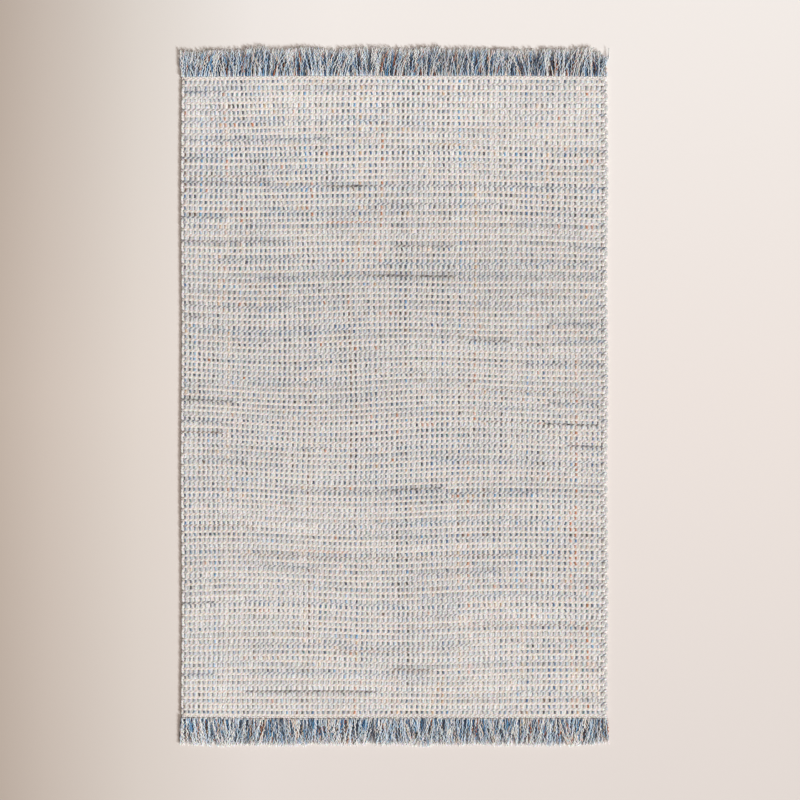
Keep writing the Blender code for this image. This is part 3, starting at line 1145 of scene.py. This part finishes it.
@dataclass
class GroundSheet:
    """The thin sheet that backs the yarns, where the cloth is densest, greyed by painted shade where it
    shows.
    """

    loom: Loom
    low: float = 1.4 * MM
    high: float = 5.2 * MM
    inset: float = 5.0 * MM
    end_inset: float = 1.0 * MM
    top_dip: float = 0.8 * MM
    low_rise: float = 0.6 * MM
    columns: int = 20
    steps_per_row: int = 2
    gap_shade_range: tuple[float, float] = (0.1, 0.5)
    map_size: tuple[float, float] = (0.48, 0.94)
    rim_strip: tuple[float, float] = (0.97, 0.99)
    seed: int = 3

    def build(self) -> bpy.types.Object:
        """Make the sheet: two faces on one grid of lines and columns, joined round the rim.

        Point (i, j) stands at share j across, from selvedge to selvedge, on line i. The upper face dips and
        the lower face rises a little between rows, so the sheet is thinner there.

        Returns:
            The sheet.
        """
        loom = self.loom
        count = loom.rows * self.steps_per_row + 1
        places = np.linspace(0, loom.rows, count)
        lines = np.interp(places, np.arange(loom.rows + 1), loom.row_starts)[:, None]
        share = np.linspace(0.0, 1.0, self.columns + 1)[None, :]
        left = loom.edge_x(-1, lines) + self.inset
        right = loom.edge_x(1, lines) - self.inset
        x = left * (1 - share) + right * share
        y = loom.y_at(lines, x)
        y[0] += self.end_inset
        y[-1] -= self.end_inset
        between = (np.arange(count) % self.steps_per_row == 0)[:, None] * np.ones_like(x)
        top = np.stack((x, y, self.high - self.top_dip * between), axis=-1)
        bottom = np.stack((x, y, self.low + self.low_rise * between), axis=-1)
        skin = self._shell(top, bottom)
        return skin.piece("ground_sheet", WARP_WOOL, Slot.FIELD)

    def _shell(self, top: np.ndarray, bottom: np.ndarray) -> Skin:
        """Join two grids into a closed shell: the top's quads, the bottom's turned over, and the rim.

        Args:
            top: the upper face's points, as rows x columns x 3.
            bottom: the lower face's, in the same shape.

        Returns:
            The shell.
        """
        rows, columns, _ = top.shape
        number = np.arange(rows * columns).reshape(rows, columns)
        quads = np.stack((number[:-1, :-1], number[:-1, 1:], number[1:, 1:], number[1:, :-1]), axis=-1)
        rim = np.concatenate((number[0], number[1:, -1], number[-1, -2::-1], number[-2:0:-1, 0]))
        under = rim + number.size
        after = np.roll(rim, -1)
        walls = np.stack((rim, under, np.roll(under, -1), after), axis=-1)
        quads = quads.reshape(-1, 4)
        faces = np.concatenate((quads, quads[:, ::-1] + number.size, walls))
        points = np.concatenate((top.reshape(-1, 3), bottom.reshape(-1, 3)))
        # Painted shade: the sheet's oat is greyed towards ash at random, for the shade where it shows between
        # the yarns.
        ash = np.random.default_rng(self.seed).uniform(*self.gap_shade_range, len(points))
        dyes = mixed(Shade.OAT.linear, Shade.ASH.linear, ash)
        place = (points[:, :2] - points[:, :2].min(0)) / np.ptp(points[:, :2], axis=0)
        corners = faces.ravel()
        half = np.where(corners < number.size, 0.0, 0.5)
        wide, tall = self.map_size
        plan = np.stack((place[corners, 0] * wide + half, place[corners, 1] * tall), axis=-1)
        round_rim = np.arange(len(rim))[:, None] + [[0.0, 0.0, 1.0, 1.0]]
        low, high = self.rim_strip
        strip = np.broadcast_to([[low, high, high, low]], round_rim.shape)
        plan[-walls.size :] = np.stack((round_rim / len(rim), strip), axis=-1).reshape(-1, 2)
        return Skin(points, [faces], dyes, points[corners, :2], plan)


@dataclass
class ThickWeft:
    """The thick cream weft: one yarn a row, pinched under each warp and swelling between them."""

    loom: Loom
    dyes: DyePlan
    sets: int = 4
    steps: int = 4
    row_share: float = 0.5
    middle_z: float = 7.1 * MM
    pinch_half: tuple[float, float] = (7.4 * MM, 2.8 * MM)
    crest_half: tuple[float, float] = (9.2 * MM, 3.5 * MM)
    edge_gap: tuple[float, float] = (6.5 * MM, 24.5 * MM)
    bare_end: float = 2.0 * MM
    swell_range: tuple[float, float] = (0.70, 1.10)
    stray_y: float = 1.2 * MM
    stray_y_step: tuple[float, float] = (1.0, 5.0)
    stray_z: float = 0.25 * MM
    stray_z_step: tuple[float, float] = (1.0, 6.0)
    seed: int = 31

    def build(self) -> list[bpy.types.Object]:
        """Make all the rows, dealt out in turn to a few objects.

        Ring j of a row stands a quarter further on between two pinches. Its half width and half thickness
        rise from the pinch's to the crest's as the sine of that share, by an amount of each swell's own.

        Returns:
            The objects.
        """
        loom, rng = self.loom, np.random.default_rng(self.seed)
        rows = np.arange(loom.rows)
        lines = loom.line_in_row(self.row_share)[:, None]
        left = loom.edge_x(-1, lines) + self.edge_gap[0]
        right = loom.edge_x(1, lines) - self.edge_gap[1]
        left[[0, -1]] -= self.edge_gap[0] - self.bare_end
        warps = loom.warp_x(rows).T
        pinches = np.concatenate((left, warps, right), axis=1)
        gaps = pinches.shape[1] - 1
        share = np.tile(np.arange(self.steps) / self.steps, gaps)
        gap = np.repeat(np.arange(gaps), self.steps)
        x = pinches[:, gap] * (1 - share) + pinches[:, gap + 1] * share
        x = np.concatenate((x, pinches[:, -1:]), axis=1)
        own = rng.uniform(*self.swell_range, (loom.rows, gaps))
        swell = np.sin(math.pi * share) * own[:, gap]
        swell = np.concatenate((swell, np.zeros((loom.rows, 1))), axis=1)
        half = [low + (high - low) * swell for low, high in zip(self.pinch_half, self.crest_half)]
        y = loom.y_at(lines, x) + self.stray_y * smooth_noise(rng, x.shape, self.stray_y_step)
        z = self.middle_z + self.stray_z * smooth_noise(rng, x.shape, self.stray_z_step)
        dyes = self.dyes.weft_dyes(np.append(gap, gaps - 1), swell)
        yarns = (*crosswise(x, y, z, *half), dyes)
        return dealt("thick_weft", self.sets, yarns, FIELD_WOOL, sides=5, turn=math.pi / 2, creases=(1, 4))


@dataclass
class Warp:
    """The dyed warp: one yarn a column, over each thick weft row and under each binding weft."""

    loom: Loom
    dyes: DyePlan
    sets: int = 3
    ring_shares: tuple[float, ...] = (0.0, 0.31, 0.69)
    ring_heights: tuple[float, ...] = (5.6 * MM, 9.0 * MM, 9.0 * MM)
    ring_widths: tuple[float, ...] = (3.0 * MM, 5.5 * MM, 5.5 * MM)
    half_thick: float = 1.9 * MM
    ring_sides: tuple[float, ...] = (0.0, 1.0, -1.0)
    tilt: float = 0.7 * MM
    stray: float = 0.8 * MM
    width_range: tuple[float, float] = (0.80, 1.12)
    dip_cream: float = 1.0
    seed: int = 41

    def build(self) -> list[bpy.types.Object]:
        """Make all the warps, dealt out in turn to a few objects.

        A warp has three rings a row: low under the binding weft, then twice high over the thick weft. A fleck
        leans a little, its two high rings stepping aside by opposite amounts of its own. Its dye turns to
        cream where it dips.

        Returns:
            The objects.
        """
        loom, rng = self.loom, np.random.default_rng(self.seed)
        cells = (loom.columns, loom.rows)
        starts = loom.warp_x(np.arange(loom.rows + 1))
        tilt = rng.normal(0.0, self.tilt, cells)
        shift = rng.normal(0.0, self.stray, cells)
        fat = rng.uniform(*self.width_range, cells)
        rings = []
        sizes = zip(self.ring_shares, self.ring_heights, self.ring_widths, self.ring_sides)
        for share, height, width, side in sizes:
            x = starts[:, :-1] * (1 - share) + starts[:, 1:] * share + side * tilt + shift
            y = loom.y_at(loom.line_in_row(share)[None, :], x)
            rings.append(np.stack((x, y, np.full(cells, height), width * fat), axis=-1))
        path = np.stack(rings, axis=2).reshape(loom.columns, -1, 4)
        last = path[:, :1].copy()
        last[..., 0] = starts[:, -1:]
        last[..., 1] = loom.y_at(np.ones((loom.columns, 1)), starts[:, -1:])
        path = np.concatenate((path, last), axis=1)
        zero = 0 * path[..., 0]
        across = np.stack((-path[..., 3], zero, zero), axis=-1)
        over = np.stack((zero, zero, zero + self.half_thick), axis=-1)
        flecks = self.dyes.warp_dyes()
        dips = mixed(flecks[:, :, :1], Shade.CREAM.linear, self.dip_cream)
        dyes = np.concatenate((dips, flecks), axis=2).reshape(loom.columns, -1, 3)
        dyes = np.concatenate((dyes, dyes[:, -1:]), axis=1)
        return dealt(
            "warp", self.sets, (path[..., :3], across, over, dyes), WARP_WOOL, sides=4, turn=math.pi / 4
        )


@dataclass
class BindingWeft:
    """The thin binding weft between the thick rows, over every warp, in a shallow wave."""

    loom: Loom
    dyes: DyePlan
    sets: int = 2
    wave_y: float = 0.2 * MM
    stray_y: float = 0.9 * MM
    wave_z: float = 0.3 * MM
    middle_z: float = 8.9 * MM
    half_wide: float = 4.5 * MM
    half_thick: float = 1.5 * MM
    short_end: float = 7.0 * MM
    turn_margin: float = 9.0 * MM
    tucked_end: float = 1.5 * MM
    heading_gap: float = 1.0 * MM
    edge_inset: float = 2.0 * MM
    loose_shares: tuple[float, float] = (0.33, 0.67)
    wave_range: tuple[float, float] = (0.4, 1.3)
    stray_step: tuple[float, float] = (1.0, 3.0)
    size_range: tuple[float, float] = (0.8, 1.1)
    seed: int = 51

    def build(self) -> list[bpy.types.Object]:
        """Make all the lines, dealt out in turn to two objects.

        Even lines stop short of the left selvedge and odd ones short of the right, where the thick weft turns
        round its end. A ring stands at every warp and halfway to the next. It is raised at the warp and low
        between, and steps up and down the rug in turn, each line the other way from the one before.

        Returns:
            The objects.
        """
        loom, rng = self.loom, np.random.default_rng(self.seed)
        rows = np.arange(loom.rows + 1)
        lines = loom.row_starts[:, None]
        warps = loom.warp_x(rows).T
        middles = (warps[:, :-1] + warps[:, 1:]) / 2
        inner = np.empty((len(rows), 2 * loom.columns - 1))
        inner[:, 0::2], inner[:, 1::2] = warps, middles
        left = loom.edge_x(-1, lines) + self.edge_inset
        right = loom.edge_x(1, lines) - self.edge_inset
        odd = (rows % 2 == 1)[:, None]
        left = np.where(odd, left, np.maximum(left, warps[:, :1] - self.short_end))
        right = np.where(odd, right - self.turn_margin, right)
        loose = warps[:, -1:] + (right - warps[:, -1:]) * np.array([self.loose_shares])
        x = np.concatenate((left, inner, loose, right), axis=1)
        turn = np.arange(x.shape[1])
        flip = np.where((turn[None, :] // 2 + rows[:, None]) % 2, 1.0, -1.0)
        raised = np.where(turn % 2, 1.0, -1.0)[None, :]
        y = loom.y_at(lines, x) + self.wave_y * flip * rng.uniform(*self.wave_range, x.shape)
        y = y + self.stray_y * smooth_noise(rng, x.shape, self.stray_step)
        y[0] += self.heading_gap
        y[-1] -= self.heading_gap
        z = self.middle_z + self.wave_z * raised + 0 * x
        z[1::2, -1] -= self.tucked_end
        size = rng.uniform(*self.size_range, x.shape)
        shares = (np.median(x, axis=0) - loom.middle_x + loom.half_width) / (2 * loom.half_width)
        frames = crosswise(x, y, z, self.half_wide * size, self.half_thick * size)
        yarns = (*frames, self.dyes.binding_dyes(shares))
        return dealt("binding_weft", self.sets, yarns, THIN_WOOL, sides=4, creases=(0, 2))


@dataclass
class SelvedgeTurns:
    """The loops where the thick weft turns round at a selvedge and goes back as the next row."""

    loom: Loom
    side: int
    depth: float
    edge_painted_shade: float
    outset: float
    yarn_half: tuple[float, float]
    lengthening: float
    fullness: float = 0.6
    middle_z: float = 6.6 * MM
    rings: int = 11
    depth_range: tuple[float, float] = (0.85, 1.05)
    size_range: tuple[float, float] = (0.88, 1.04)
    oat_most: float = 0.5
    grey_most: float = 0.4
    lightness: float = 0.95
    seed: int = 61

    def build(self) -> bpy.types.Object:
        """Make the loops of one selvedge: half ellipses from one row's middle to the next one's.

        The middle of ring j stands at the angle t from -90 to 90 degrees: x is the turn's depth times cos t
        to the power of the fullness, and y the lengthened half gap between the rows times sin t.

        Returns:
            The loops.
        """
        loom, rng = self.loom, np.random.default_rng(self.seed + self.side)
        first = np.arange(0 if self.side > 0 else 1, loom.rows - 1, 2)
        lines = loom.line_in_row(0.5)
        low, high = lines[first][:, None], lines[first + 1][:, None]
        middle = (low + high) / 2
        angle = np.linspace(-math.pi / 2, math.pi / 2, self.rings)[None, :]
        depth = self.depth * rng.uniform(*self.depth_range, (len(first), 1))
        edge = loom.edge_x(self.side, middle) + self.side * (self.outset - self.yarn_half[0])
        x = edge - self.side * depth * (1 - np.clip(np.cos(angle), 0.0, 1.0) ** self.fullness)
        y_low, y_high = loom.y_at(low, edge), loom.y_at(high, edge)
        y = (y_low + y_high) / 2 + ((y_high - y_low) / 2 + self.lengthening) * np.sin(angle)
        z = np.full_like(x, self.middle_z)
        path = np.stack((x, y, z), axis=-1)
        size = rng.uniform(*self.size_range, x.shape)[..., None]
        steepness = self.side * (y_high - y_low) / 2 * np.cos(angle), depth * np.sin(angle)
        outward = np.stack((*steepness, 0 * x), axis=-1)
        outward = outward / np.linalg.norm(outward, axis=-1, keepdims=True)
        across = -outward * self.yarn_half[0] * size
        over = Z_UP * self.yarn_half[1] * size * self.side
        cream = mixed(Shade.CREAM.linear, Shade.OAT.linear, rng.uniform(0.0, self.oat_most, x.shape))
        dyes = mixed(cream, Shade.PALE_GREY.linear, rng.uniform(0.0, self.grey_most, x.shape))
        # Painted shade and light: the right loops are darker towards their outermost point, and the left
        # loops lighter there.
        dyes = dyes * (self.lightness - self.edge_painted_shade * np.cos(angle))[..., None]
        name = "selvedge_turns_right" if self.side > 0 else "selvedge_turns_left"
        skin = yarn_skin(path, across, over, dyes, sides=8, turn=math.pi / 8, shelves=4, creases=(0, 3, 4, 7))
        return skin.piece(name, FIELD_WOOL, Slot.FIELD)


@dataclass
class TwinedHeading:
    """A heading of two cream yarns twined about each other across the warp ends."""

    loom: Loom
    end: End
    twists: int = 41
    rings_per_twist: int = 10
    circle: tuple[float, float] = (2.6 * MM, 2.6 * MM)
    half: float = 3.3 * MM
    flatness: float = 0.92
    oat_share: float = 0.25
    oat_tone: float = 0.25
    oat_step: tuple[float, float] = (1.0, 30.0)
    seed: int = 71

    def build(self) -> bpy.types.Object:
        """Make both yarns: two helices half a turn apart, along a line that follows the end's edge.

        Returns:
            The heading.
        """
        low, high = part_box(f"heading_{self.end.name}")
        count = self.twists * self.rings_per_twist + 1
        x = np.linspace(low[0] + self.half, high[0] - self.half, count)[None, :]
        phase = np.linspace(0.0, math.tau * self.twists, count)[None, :] + np.array([[0.0], [math.pi]])
        column = (x - self.loom.middle_x) / self.loom.half_width
        stray = np.interp(column, np.linspace(-1.0, 1.0, len(self.end.edge)), self.end.edge)
        line = np.full_like(column, float(self.end.side))
        width = (high[1] - low[1]) - (max(self.end.edge) - min(self.end.edge))
        seat = self.loom.middle_y + line * (self.loom.half_length + width / 2) + stray
        y = seat + self.circle[0] * np.cos(phase)
        z = high[2] / 2 + self.circle[1] * np.sin(phase)
        x = np.broadcast_to(x, y.shape)
        rng = np.random.default_rng(self.seed + self.end.side)
        oat = self.oat_share + self.oat_tone * smooth_noise(rng, x.shape, self.oat_step)
        dyes = mixed(Shade.CREAM.linear, Shade.OAT.linear, oat)
        skin = yarn_skin(*crosswise(x, y, z, self.half, self.flatness * self.half), dyes)
        piece = skin.piece(f"twined_heading_{self.end.name}", FIELD_WOOL, Slot.HEADING)
        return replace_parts(piece, f"heading_{self.end.name}") or piece


@dataclass(frozen=True)
class StrandLayer:
    """One layer of a fringe: its strands' count, heights, stray aside, share of full reach, and shades."""

    count: int
    low: float
    high: float
    stray: float
    reach: float
    shades: tuple[tuple[Shade, int], ...]


DARK_STRANDS = StrandLayer(
    count=430,
    low=0.3 * MM,
    high=2.4 * MM,
    stray=8.0 * MM,
    reach=0.90,
    shades=weighted(
        NAVY=27, CHARCOAL=23, SLATE=11, DENIM=18, BLUE_GREY=8, SKY=11, TEAL=4, RUST=7, BROWN=6,
    ),
)
MIXED_STRANDS = StrandLayer(
    count=400,
    low=2.4 * MM,
    high=5.2 * MM,
    stray=15.0 * MM,
    reach=0.95,
    shades=weighted(
        CREAM=24, PALE_BLUE=26, PEACH=4, BLUE_GREY=9, SLATE=10, NAVY=13, CHARCOAL=5, DENIM=10,
        SKY=8, TAN=4, RUST=6, BROWN=2,
    ),
)
PALE_STRANDS = StrandLayer(
    count=330,
    low=5.2 * MM,
    high=7.4 * MM,
    stray=20.0 * MM,
    reach=1.0,
    shades=weighted(
        CREAM=46, PALE_BLUE=30, PEACH=6, BLUE_GREY=7, RUST=3, SKY=5, SLATE=9,
    ),
)


@dataclass
class Fringe:
    """The loose warp ends past one heading: thin crimped strands in layers, rooted in a knotted strip."""

    loom: Loom
    end: End
    layers: tuple[StrandLayer, ...] = (DARK_STRANDS, MIXED_STRANDS, PALE_STRANDS)
    rings: int = 13
    changes: int = 4
    root_half: float = 2.2 * MM
    tip_half: float = 1.9 * MM
    crimp: float = 2.6 * MM
    wisp_lean: float = 24.0 * MM
    root_lift: float = 1.6 * MM
    root_spread: float = 9.0 * MM
    tip_stray: float = 1.8 * MM
    tip_flatness: float = 0.5
    root_inset: float = 2.0 * MM
    home_inset: float = 7.0 * MM
    home_most: float = 0.755
    root_margin: float = 3.0 * MM
    overhang: float = 3.0 * MM
    root_depth: float = 2.0 * MM
    noise_count: int = 400
    wisp_step: tuple[float, float] = (1.0, 6.0)
    wisp_reach: float = 0.03
    ring_stray: float = 0.04
    crimp_range: tuple[float, float] = (0.3, 1.3)
    crimp_ease: float = 4.0
    lean_power: float = 1.4
    taper_power: float = 1.5
    size_range: tuple[float, float] = (0.8, 1.25)
    sink: float = 0.12
    lift_stray: float = 0.6 * MM
    root_ease: float = 2.5
    roundness: float = 0.85
    change_range: tuple[float, float] = (0.05, 1.3)
    change_ease: float = 0.05
    cloud_step: tuple[float, float] = (1.0, 9.0)
    cloud_tone: float = 0.25
    cloud_most: float = 0.5
    tip_fray_and_painted_light: float = 0.95
    tip_power: int = 8
    knots_per_warp: int = 4
    knot_half: float = 2.6 * MM
    knot_swell: tuple[float, float] = (0.8, 0.35)
    knot_shade: float = 0.6
    seed: int = 81

    def reach_at(self, x: np.ndarray) -> np.ndarray:
        """Work out how far out the fringe reaches: the mean and the tufts' bell curves.

        Args:
            x: places across the rug, from its middle.

        Returns:
            The reach at each place.
        """
        out = np.full_like(x, self.end.reach)
        for tuft in self.end.tufts:
            out = out + tuft.extra * np.exp(-(((x - tuft.x) / tuft.half_width) ** 2))
        return out

    def lean_at(self, x: np.ndarray) -> np.ndarray:
        """Work out how far aside the tips lie: slow waves that fade at the rug's corners.

        Args:
            x: places across the rug, from its middle.

        Returns:
            The distance aside at each place.
        """
        fade = 1.0 - np.abs(x / self.loom.half_width) ** 8
        waves = [lean.reach * np.sin(math.tau * x / lean.wavelength + lean.phase) for lean in self.end.leans]
        return fade * sum(waves)

    def root_y(self, x: np.ndarray) -> np.ndarray:
        """Work out the Y of the fringe's root line, which follows the heading's outer edge.

        Args:
            x: places across the rug.

        Returns:
            The Y at each place.
        """
        low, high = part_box(f"heading_{self.end.name}")
        edge = high[1] - max(self.end.edge) if self.end.side > 0 else low[1] - min(self.end.edge)
        places = np.linspace(-self.loom.half_width, self.loom.half_width, len(self.end.edge))
        return edge + np.interp(x - self.loom.middle_x, places, self.end.edge)

    def build(self) -> list[bpy.types.Object]:
        """Make the knotted strip and the layers of strands.

        A strand's ring j stands at share s of its reach. Its middle moves aside by its lean times s to a
        power, and by a crimp that changes side from ring to ring. It starts a little above its layer's height
        and ends a little below it.

        Returns:
            The objects, the strip first.
        """
        pieces = [self._knots()]
        for number, layer in enumerate(self.layers):
            pieces.append(self._strands(number, layer))
        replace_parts(pieces[1], f"fringe_{self.end.name}")
        return pieces

    def _strands(self, number: int, layer: StrandLayer) -> bpy.types.Object:
        """Make one layer of strands.

        Args:
            number: 0 for the lowest layer, and up.
            layer: its sizes and shades.

        Returns:
            The object.
        """
        loom, side = self.loom, self.end.side
        rng = np.random.default_rng(self.seed + 10 * number + side)
        count = layer.count
        bundle = np.arange(count) % loom.columns
        spread = loom.half_width - self.root_inset
        spread = spread / max(abs(loom.column_places[0]), abs(loom.column_places[-1]))
        home = np.linspace(-1, 1, loom.columns)[bundle] * (loom.half_width - self.home_inset)
        warps = np.clip(loom.column_places[bundle] * spread, -self.home_most, self.home_most)
        home = 0.5 * home + 0.5 * warps
        limit = loom.half_width - self.root_margin
        root = np.clip(home + rng.normal(0.0, self.root_spread, count), -limit, limit)
        wisp = self._noise_at(rng, self.wisp_step, root)
        reach = layer.reach * self.reach_at(root) * (1.0 + self.wisp_reach * wisp)
        reach = reach - np.abs(rng.normal(0.0, self.tip_stray, count))
        lean = self.lean_at(root) + self.wisp_lean * wisp + rng.normal(0.0, layer.stray, count)
        share = np.linspace(0.0, 1.0, self.rings)[None, :]
        moved = rng.uniform(-self.ring_stray, self.ring_stray, (count, self.rings - 2))
        share = share + np.pad(moved, ((0, 0), (1, 1)))
        zigzag = np.where(np.arange(self.rings) % 2, 1.0, -1.0)[None, :]
        zigzag = zigzag * rng.choice([-1.0, 1.0], count)[:, None]
        crimp = self.crimp * zigzag * rng.uniform(*self.crimp_range, (count, self.rings))
        crimp = crimp * np.minimum(1.0, self.crimp_ease * share)
        x = loom.middle_x + root[:, None] + lean[:, None] * share**self.lean_power + crimp
        limit = loom.half_width + self.overhang
        x = loom.middle_x + np.clip(x - loom.middle_x, -limit, limit)
        y = self.root_y(root)[:, None] + side * (reach[:, None] * share - self.root_depth)
        half = self.root_half + (self.tip_half - self.root_half) * share**self.taper_power
        half = half * rng.uniform(*self.size_range, (count, 1))
        bed = rng.uniform(layer.low, layer.high, (count, 1))
        z = half + bed * (1.0 - self.sink * share**2) + self.lift_stray * rng.uniform(0.0, 1.0, x.shape)
        lift = self.root_lift * np.clip(1.0 - self.root_ease * share, 0.0, 1.0)
        z = z + lift + self.end.tip_rise * share**3
        path = np.stack((x, y, z), axis=-1)
        across = np.stack((-side * half, 0 * half, 0 * half), axis=-1)
        thick = (self.roundness - self.tip_flatness * share**4) * half
        over = np.stack((0 * half, 0 * half, thick), axis=-1)
        dyes = self._strand_dyes(rng, layer, share, root)
        skin = yarn_skin(path, across, over, dyes, sides=3, turn=math.pi / 2, shelves=12)
        return skin.piece(f"fringe_{self.end.name}_layer_{number + 1}", FRINGE_WOOL, Slot.FRINGE)

    def _noise_at(
        self, rng: np.random.Generator, step: tuple[float, float], root: np.ndarray
    ) -> np.ndarray:
        """Look up slow noise across the rug at the strands' roots.

        Args:
            rng: the random source.
            step: cells between the noise's knots along each axis.
            root: the roots' places, from the rug's middle.

        Returns:
            The noise at each root, from -1 to 1.
        """
        cells = smooth_noise(rng, (2, self.noise_count), step)[0]
        return np.interp(root, np.linspace(-self.loom.half_width, self.loom.half_width, len(cells)), cells)

    def _strand_dyes(
        self, rng: np.random.Generator, layer: StrandLayer, share: np.ndarray, root: np.ndarray
    ) -> np.ndarray:
        """Dye the strands: each changes its shade at a few places of its own, and is paler at its tip, partly
        as frayed ends are and partly as painted light.

        Args:
            rng: the random source.
            layer: the layer, with its shades.
            share: the rings' shares of the reach, as strands x rings.
            root: the roots' places, from the rug's middle.

        Returns:
            The colours, as strands x rings x 3.
        """
        picks = picked_shades(rng, layer.shades, (self.changes + 1, layer.count))
        places = np.sort(rng.uniform(*self.change_range, (self.changes, layer.count, 1)), axis=0)
        dyes = picks[0][:, None, :]
        for shade, place in zip(picks[1:], places):
            dyes = mixed(dyes, shade[:, None, :], np.clip((share - place) / self.change_ease, 0.0, 1.0))
        shadow = self._noise_at(rng, self.cloud_step, root)
        dark = np.clip(self.cloud_tone * shadow, 0.0, self.cloud_most)[:, None] + 0 * share
        dyes = mixed(dyes, Shade.NAVY.linear, dark)
        # Partly real and partly painted light: the tips turn towards cream as frayed ends do, and further to
        # lighten them where the strands shade each other.
        cream = self.tip_fray_and_painted_light * np.clip(share, 0.0, 1.0) ** self.tip_power
        return mixed(dyes, Shade.CREAM.linear, cream) * self.end.lightness

    def _knots(self) -> bpy.types.Object:
        """Make the knotted strip at the roots: one lumpy dark yarn along the heading's outer edge.

        Its half size is a plain part plus a part that goes with the sine's size, one swell a warp.

        Returns:
            The strip.
        """
        loom, side = self.loom, self.end.side
        rng = np.random.default_rng(self.seed + 7 + side)
        count = self.knots_per_warp * loom.columns
        inset = self.root_inset - loom.half_width, loom.half_width - self.root_inset
        x = loom.middle_x + np.linspace(*inset, count)[None, :]
        plain, swell = self.knot_swell
        waves = np.abs(np.sin(np.arange(count) * math.pi / self.knots_per_warp))
        half = self.knot_half * (plain + swell * waves)[None, :]
        y = self.root_y(x[0] - loom.middle_x)[None, :] + side * self.end.root_offset
        shades = picked_shades(rng, MIXED_STRANDS.shades, x.shape)
        dyes = mixed(Shade.SLATE.linear, shades, self.knot_shade)
        dyes = mixed(dyes, Shade.CREAM.linear, self.end.root_cream)
        skin = yarn_skin(*crosswise(x, y, half + self.end.root_rise, half, half), dyes)
        return skin.piece(f"fringe_{self.end.name}_knots", FRINGE_WOOL, Slot.FRINGE)


@dataclass
class Rug:
    """The whole rug: the sheet, its yarns, both headings and both fringes."""

    loom: Loom = field(default_factory=Loom)

    def build(self) -> None:
        dyes = DyePlan(self.loom)
        ground = GroundSheet(self.loom).build()
        yarns = ThickWeft(self.loom, dyes).build()
        yarns += Warp(self.loom, dyes).build()
        yarns += BindingWeft(self.loom, dyes).build()
        left = SelvedgeTurns(
            self.loom,
            side=-1,
            depth=3.5 * MM,
            edge_painted_shade=-0.10,
            outset=0.0,
            yarn_half=(4.8 * MM, 4.5 * MM),
            lengthening=3.5 * MM,
        )
        right = SelvedgeTurns(
            self.loom,
            side=1,
            depth=19.0 * MM,
            edge_painted_shade=0.16,
            outset=2.2 * MM,
            yarn_half=(7.6 * MM, 4.6 * MM),
            lengthening=0.0,
        )
        yarns += [left.build(), right.build()]
        for end in (FAR_END, NEAR_END):
            yarns.append(TwinedHeading(self.loom, end).build())
            yarns += Fringe(self.loom, end).build()
        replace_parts(ground, "woven_field")


@dataclass
class Studio:
    """A pale floor, soft light from the lower right of the picture, and a camera straight above."""

    picture_metres: float = 2.8576
    rug_left_of_middle: float = 19.6 * MM
    rug_above_middle: float = 10.7 * MM
    camera_height: float = 8.0
    sensor: float = 36.0
    floor_size: float = 40.0
    key_strength: float = 3.6
    key_colour: tuple[float, float, float] = (0.886, 0.958, 1.0)
    key_angle: float = math.radians(16)
    key_travel: tuple[float, float, float] = (-1.3, 1.05, -1.0)
    fill_strength: float = 0.9
    fill_angle: float = math.radians(45)
    fill_travel: tuple[float, float, float] = (-0.5, 0.4, -1.0)
    sky_strength: float = 0.24
    shadow_colour: tuple[float, float, float] = (1.0, 0.905, 0.845)

    def build(self, loom: Loom) -> None:
        """Make the floor, the lights and the camera.

        Args:
            loom: where the rug lies.
        """
        self._floor()
        self._lights()
        self._camera(loom)

    def _floor(self) -> None:
        """Make the floor: one flat square under the rug."""
        half = self.floor_size / 2
        mesh = bpy.data.meshes.new("floor")
        corners = [(-half, -half, 0.0), (half, -half, 0.0), (half, half, 0.0), (-half, half, 0.0)]
        mesh.from_pydata(corners, [], [(0, 1, 2, 3)])
        mesh.materials.append(FloorFinish().material())
        floor = bpy.data.objects.new("floor", mesh)
        bpy.context.scene.collection.objects.link(floor)

    def _lights(self) -> None:
        """Make a low soft sun, a higher, softer and warmer one from the same side, and an even warm sky."""
        for name, strength, angle, travel, colour in (
            ("key", self.key_strength, self.key_angle, self.key_travel, self.key_colour),
            ("fill", self.fill_strength, self.fill_angle, self.fill_travel, self.shadow_colour),
        ):
            lamp = bpy.data.lights.new(name, "SUN")
            lamp.energy = strength
            lamp.angle = angle
            lamp.color = colour
            light = bpy.data.objects.new(name, lamp)
            light.rotation_euler = Vector(travel).to_track_quat("-Z", "Y").to_euler()
            bpy.context.scene.collection.objects.link(light)
        world = bpy.data.worlds.new("studio")
        world.use_nodes = True
        sky = world.node_tree.nodes["Background"]
        sky.inputs["Color"].default_value = (*self.shadow_colour, 1.0)
        sky.inputs["Strength"].default_value = self.sky_strength
        bpy.context.scene.world = world
        bpy.context.scene.view_settings.view_transform = "Standard"

    def _camera(self, loom: Loom) -> None:
        """Make a long-lens camera above the floor, with the rug where the photograph has it.

        Args:
            loom: where the rug lies.
        """
        lens = bpy.data.cameras.new("camera")
        lens.sensor_width = self.sensor
        lens.lens = self.sensor * self.camera_height / self.picture_metres
        lens.clip_end = 200.0
        camera = bpy.data.objects.new("camera", lens)
        camera.location = (
            loom.middle_x + self.rug_left_of_middle,
            loom.middle_y - self.rug_above_middle,
            self.camera_height,
        )
        bpy.context.scene.collection.objects.link(camera)
        bpy.context.scene.camera = camera


def main() -> None:
    """Build the studio and the rug. Each piece is reported as it is made."""
    logging.basicConfig(level=logging.INFO, format="%(name)s: %(message)s")
    rug = Rug()
    Studio().build(rug.loom)
    rug.build()


if __name__ == "__main__":
    main()
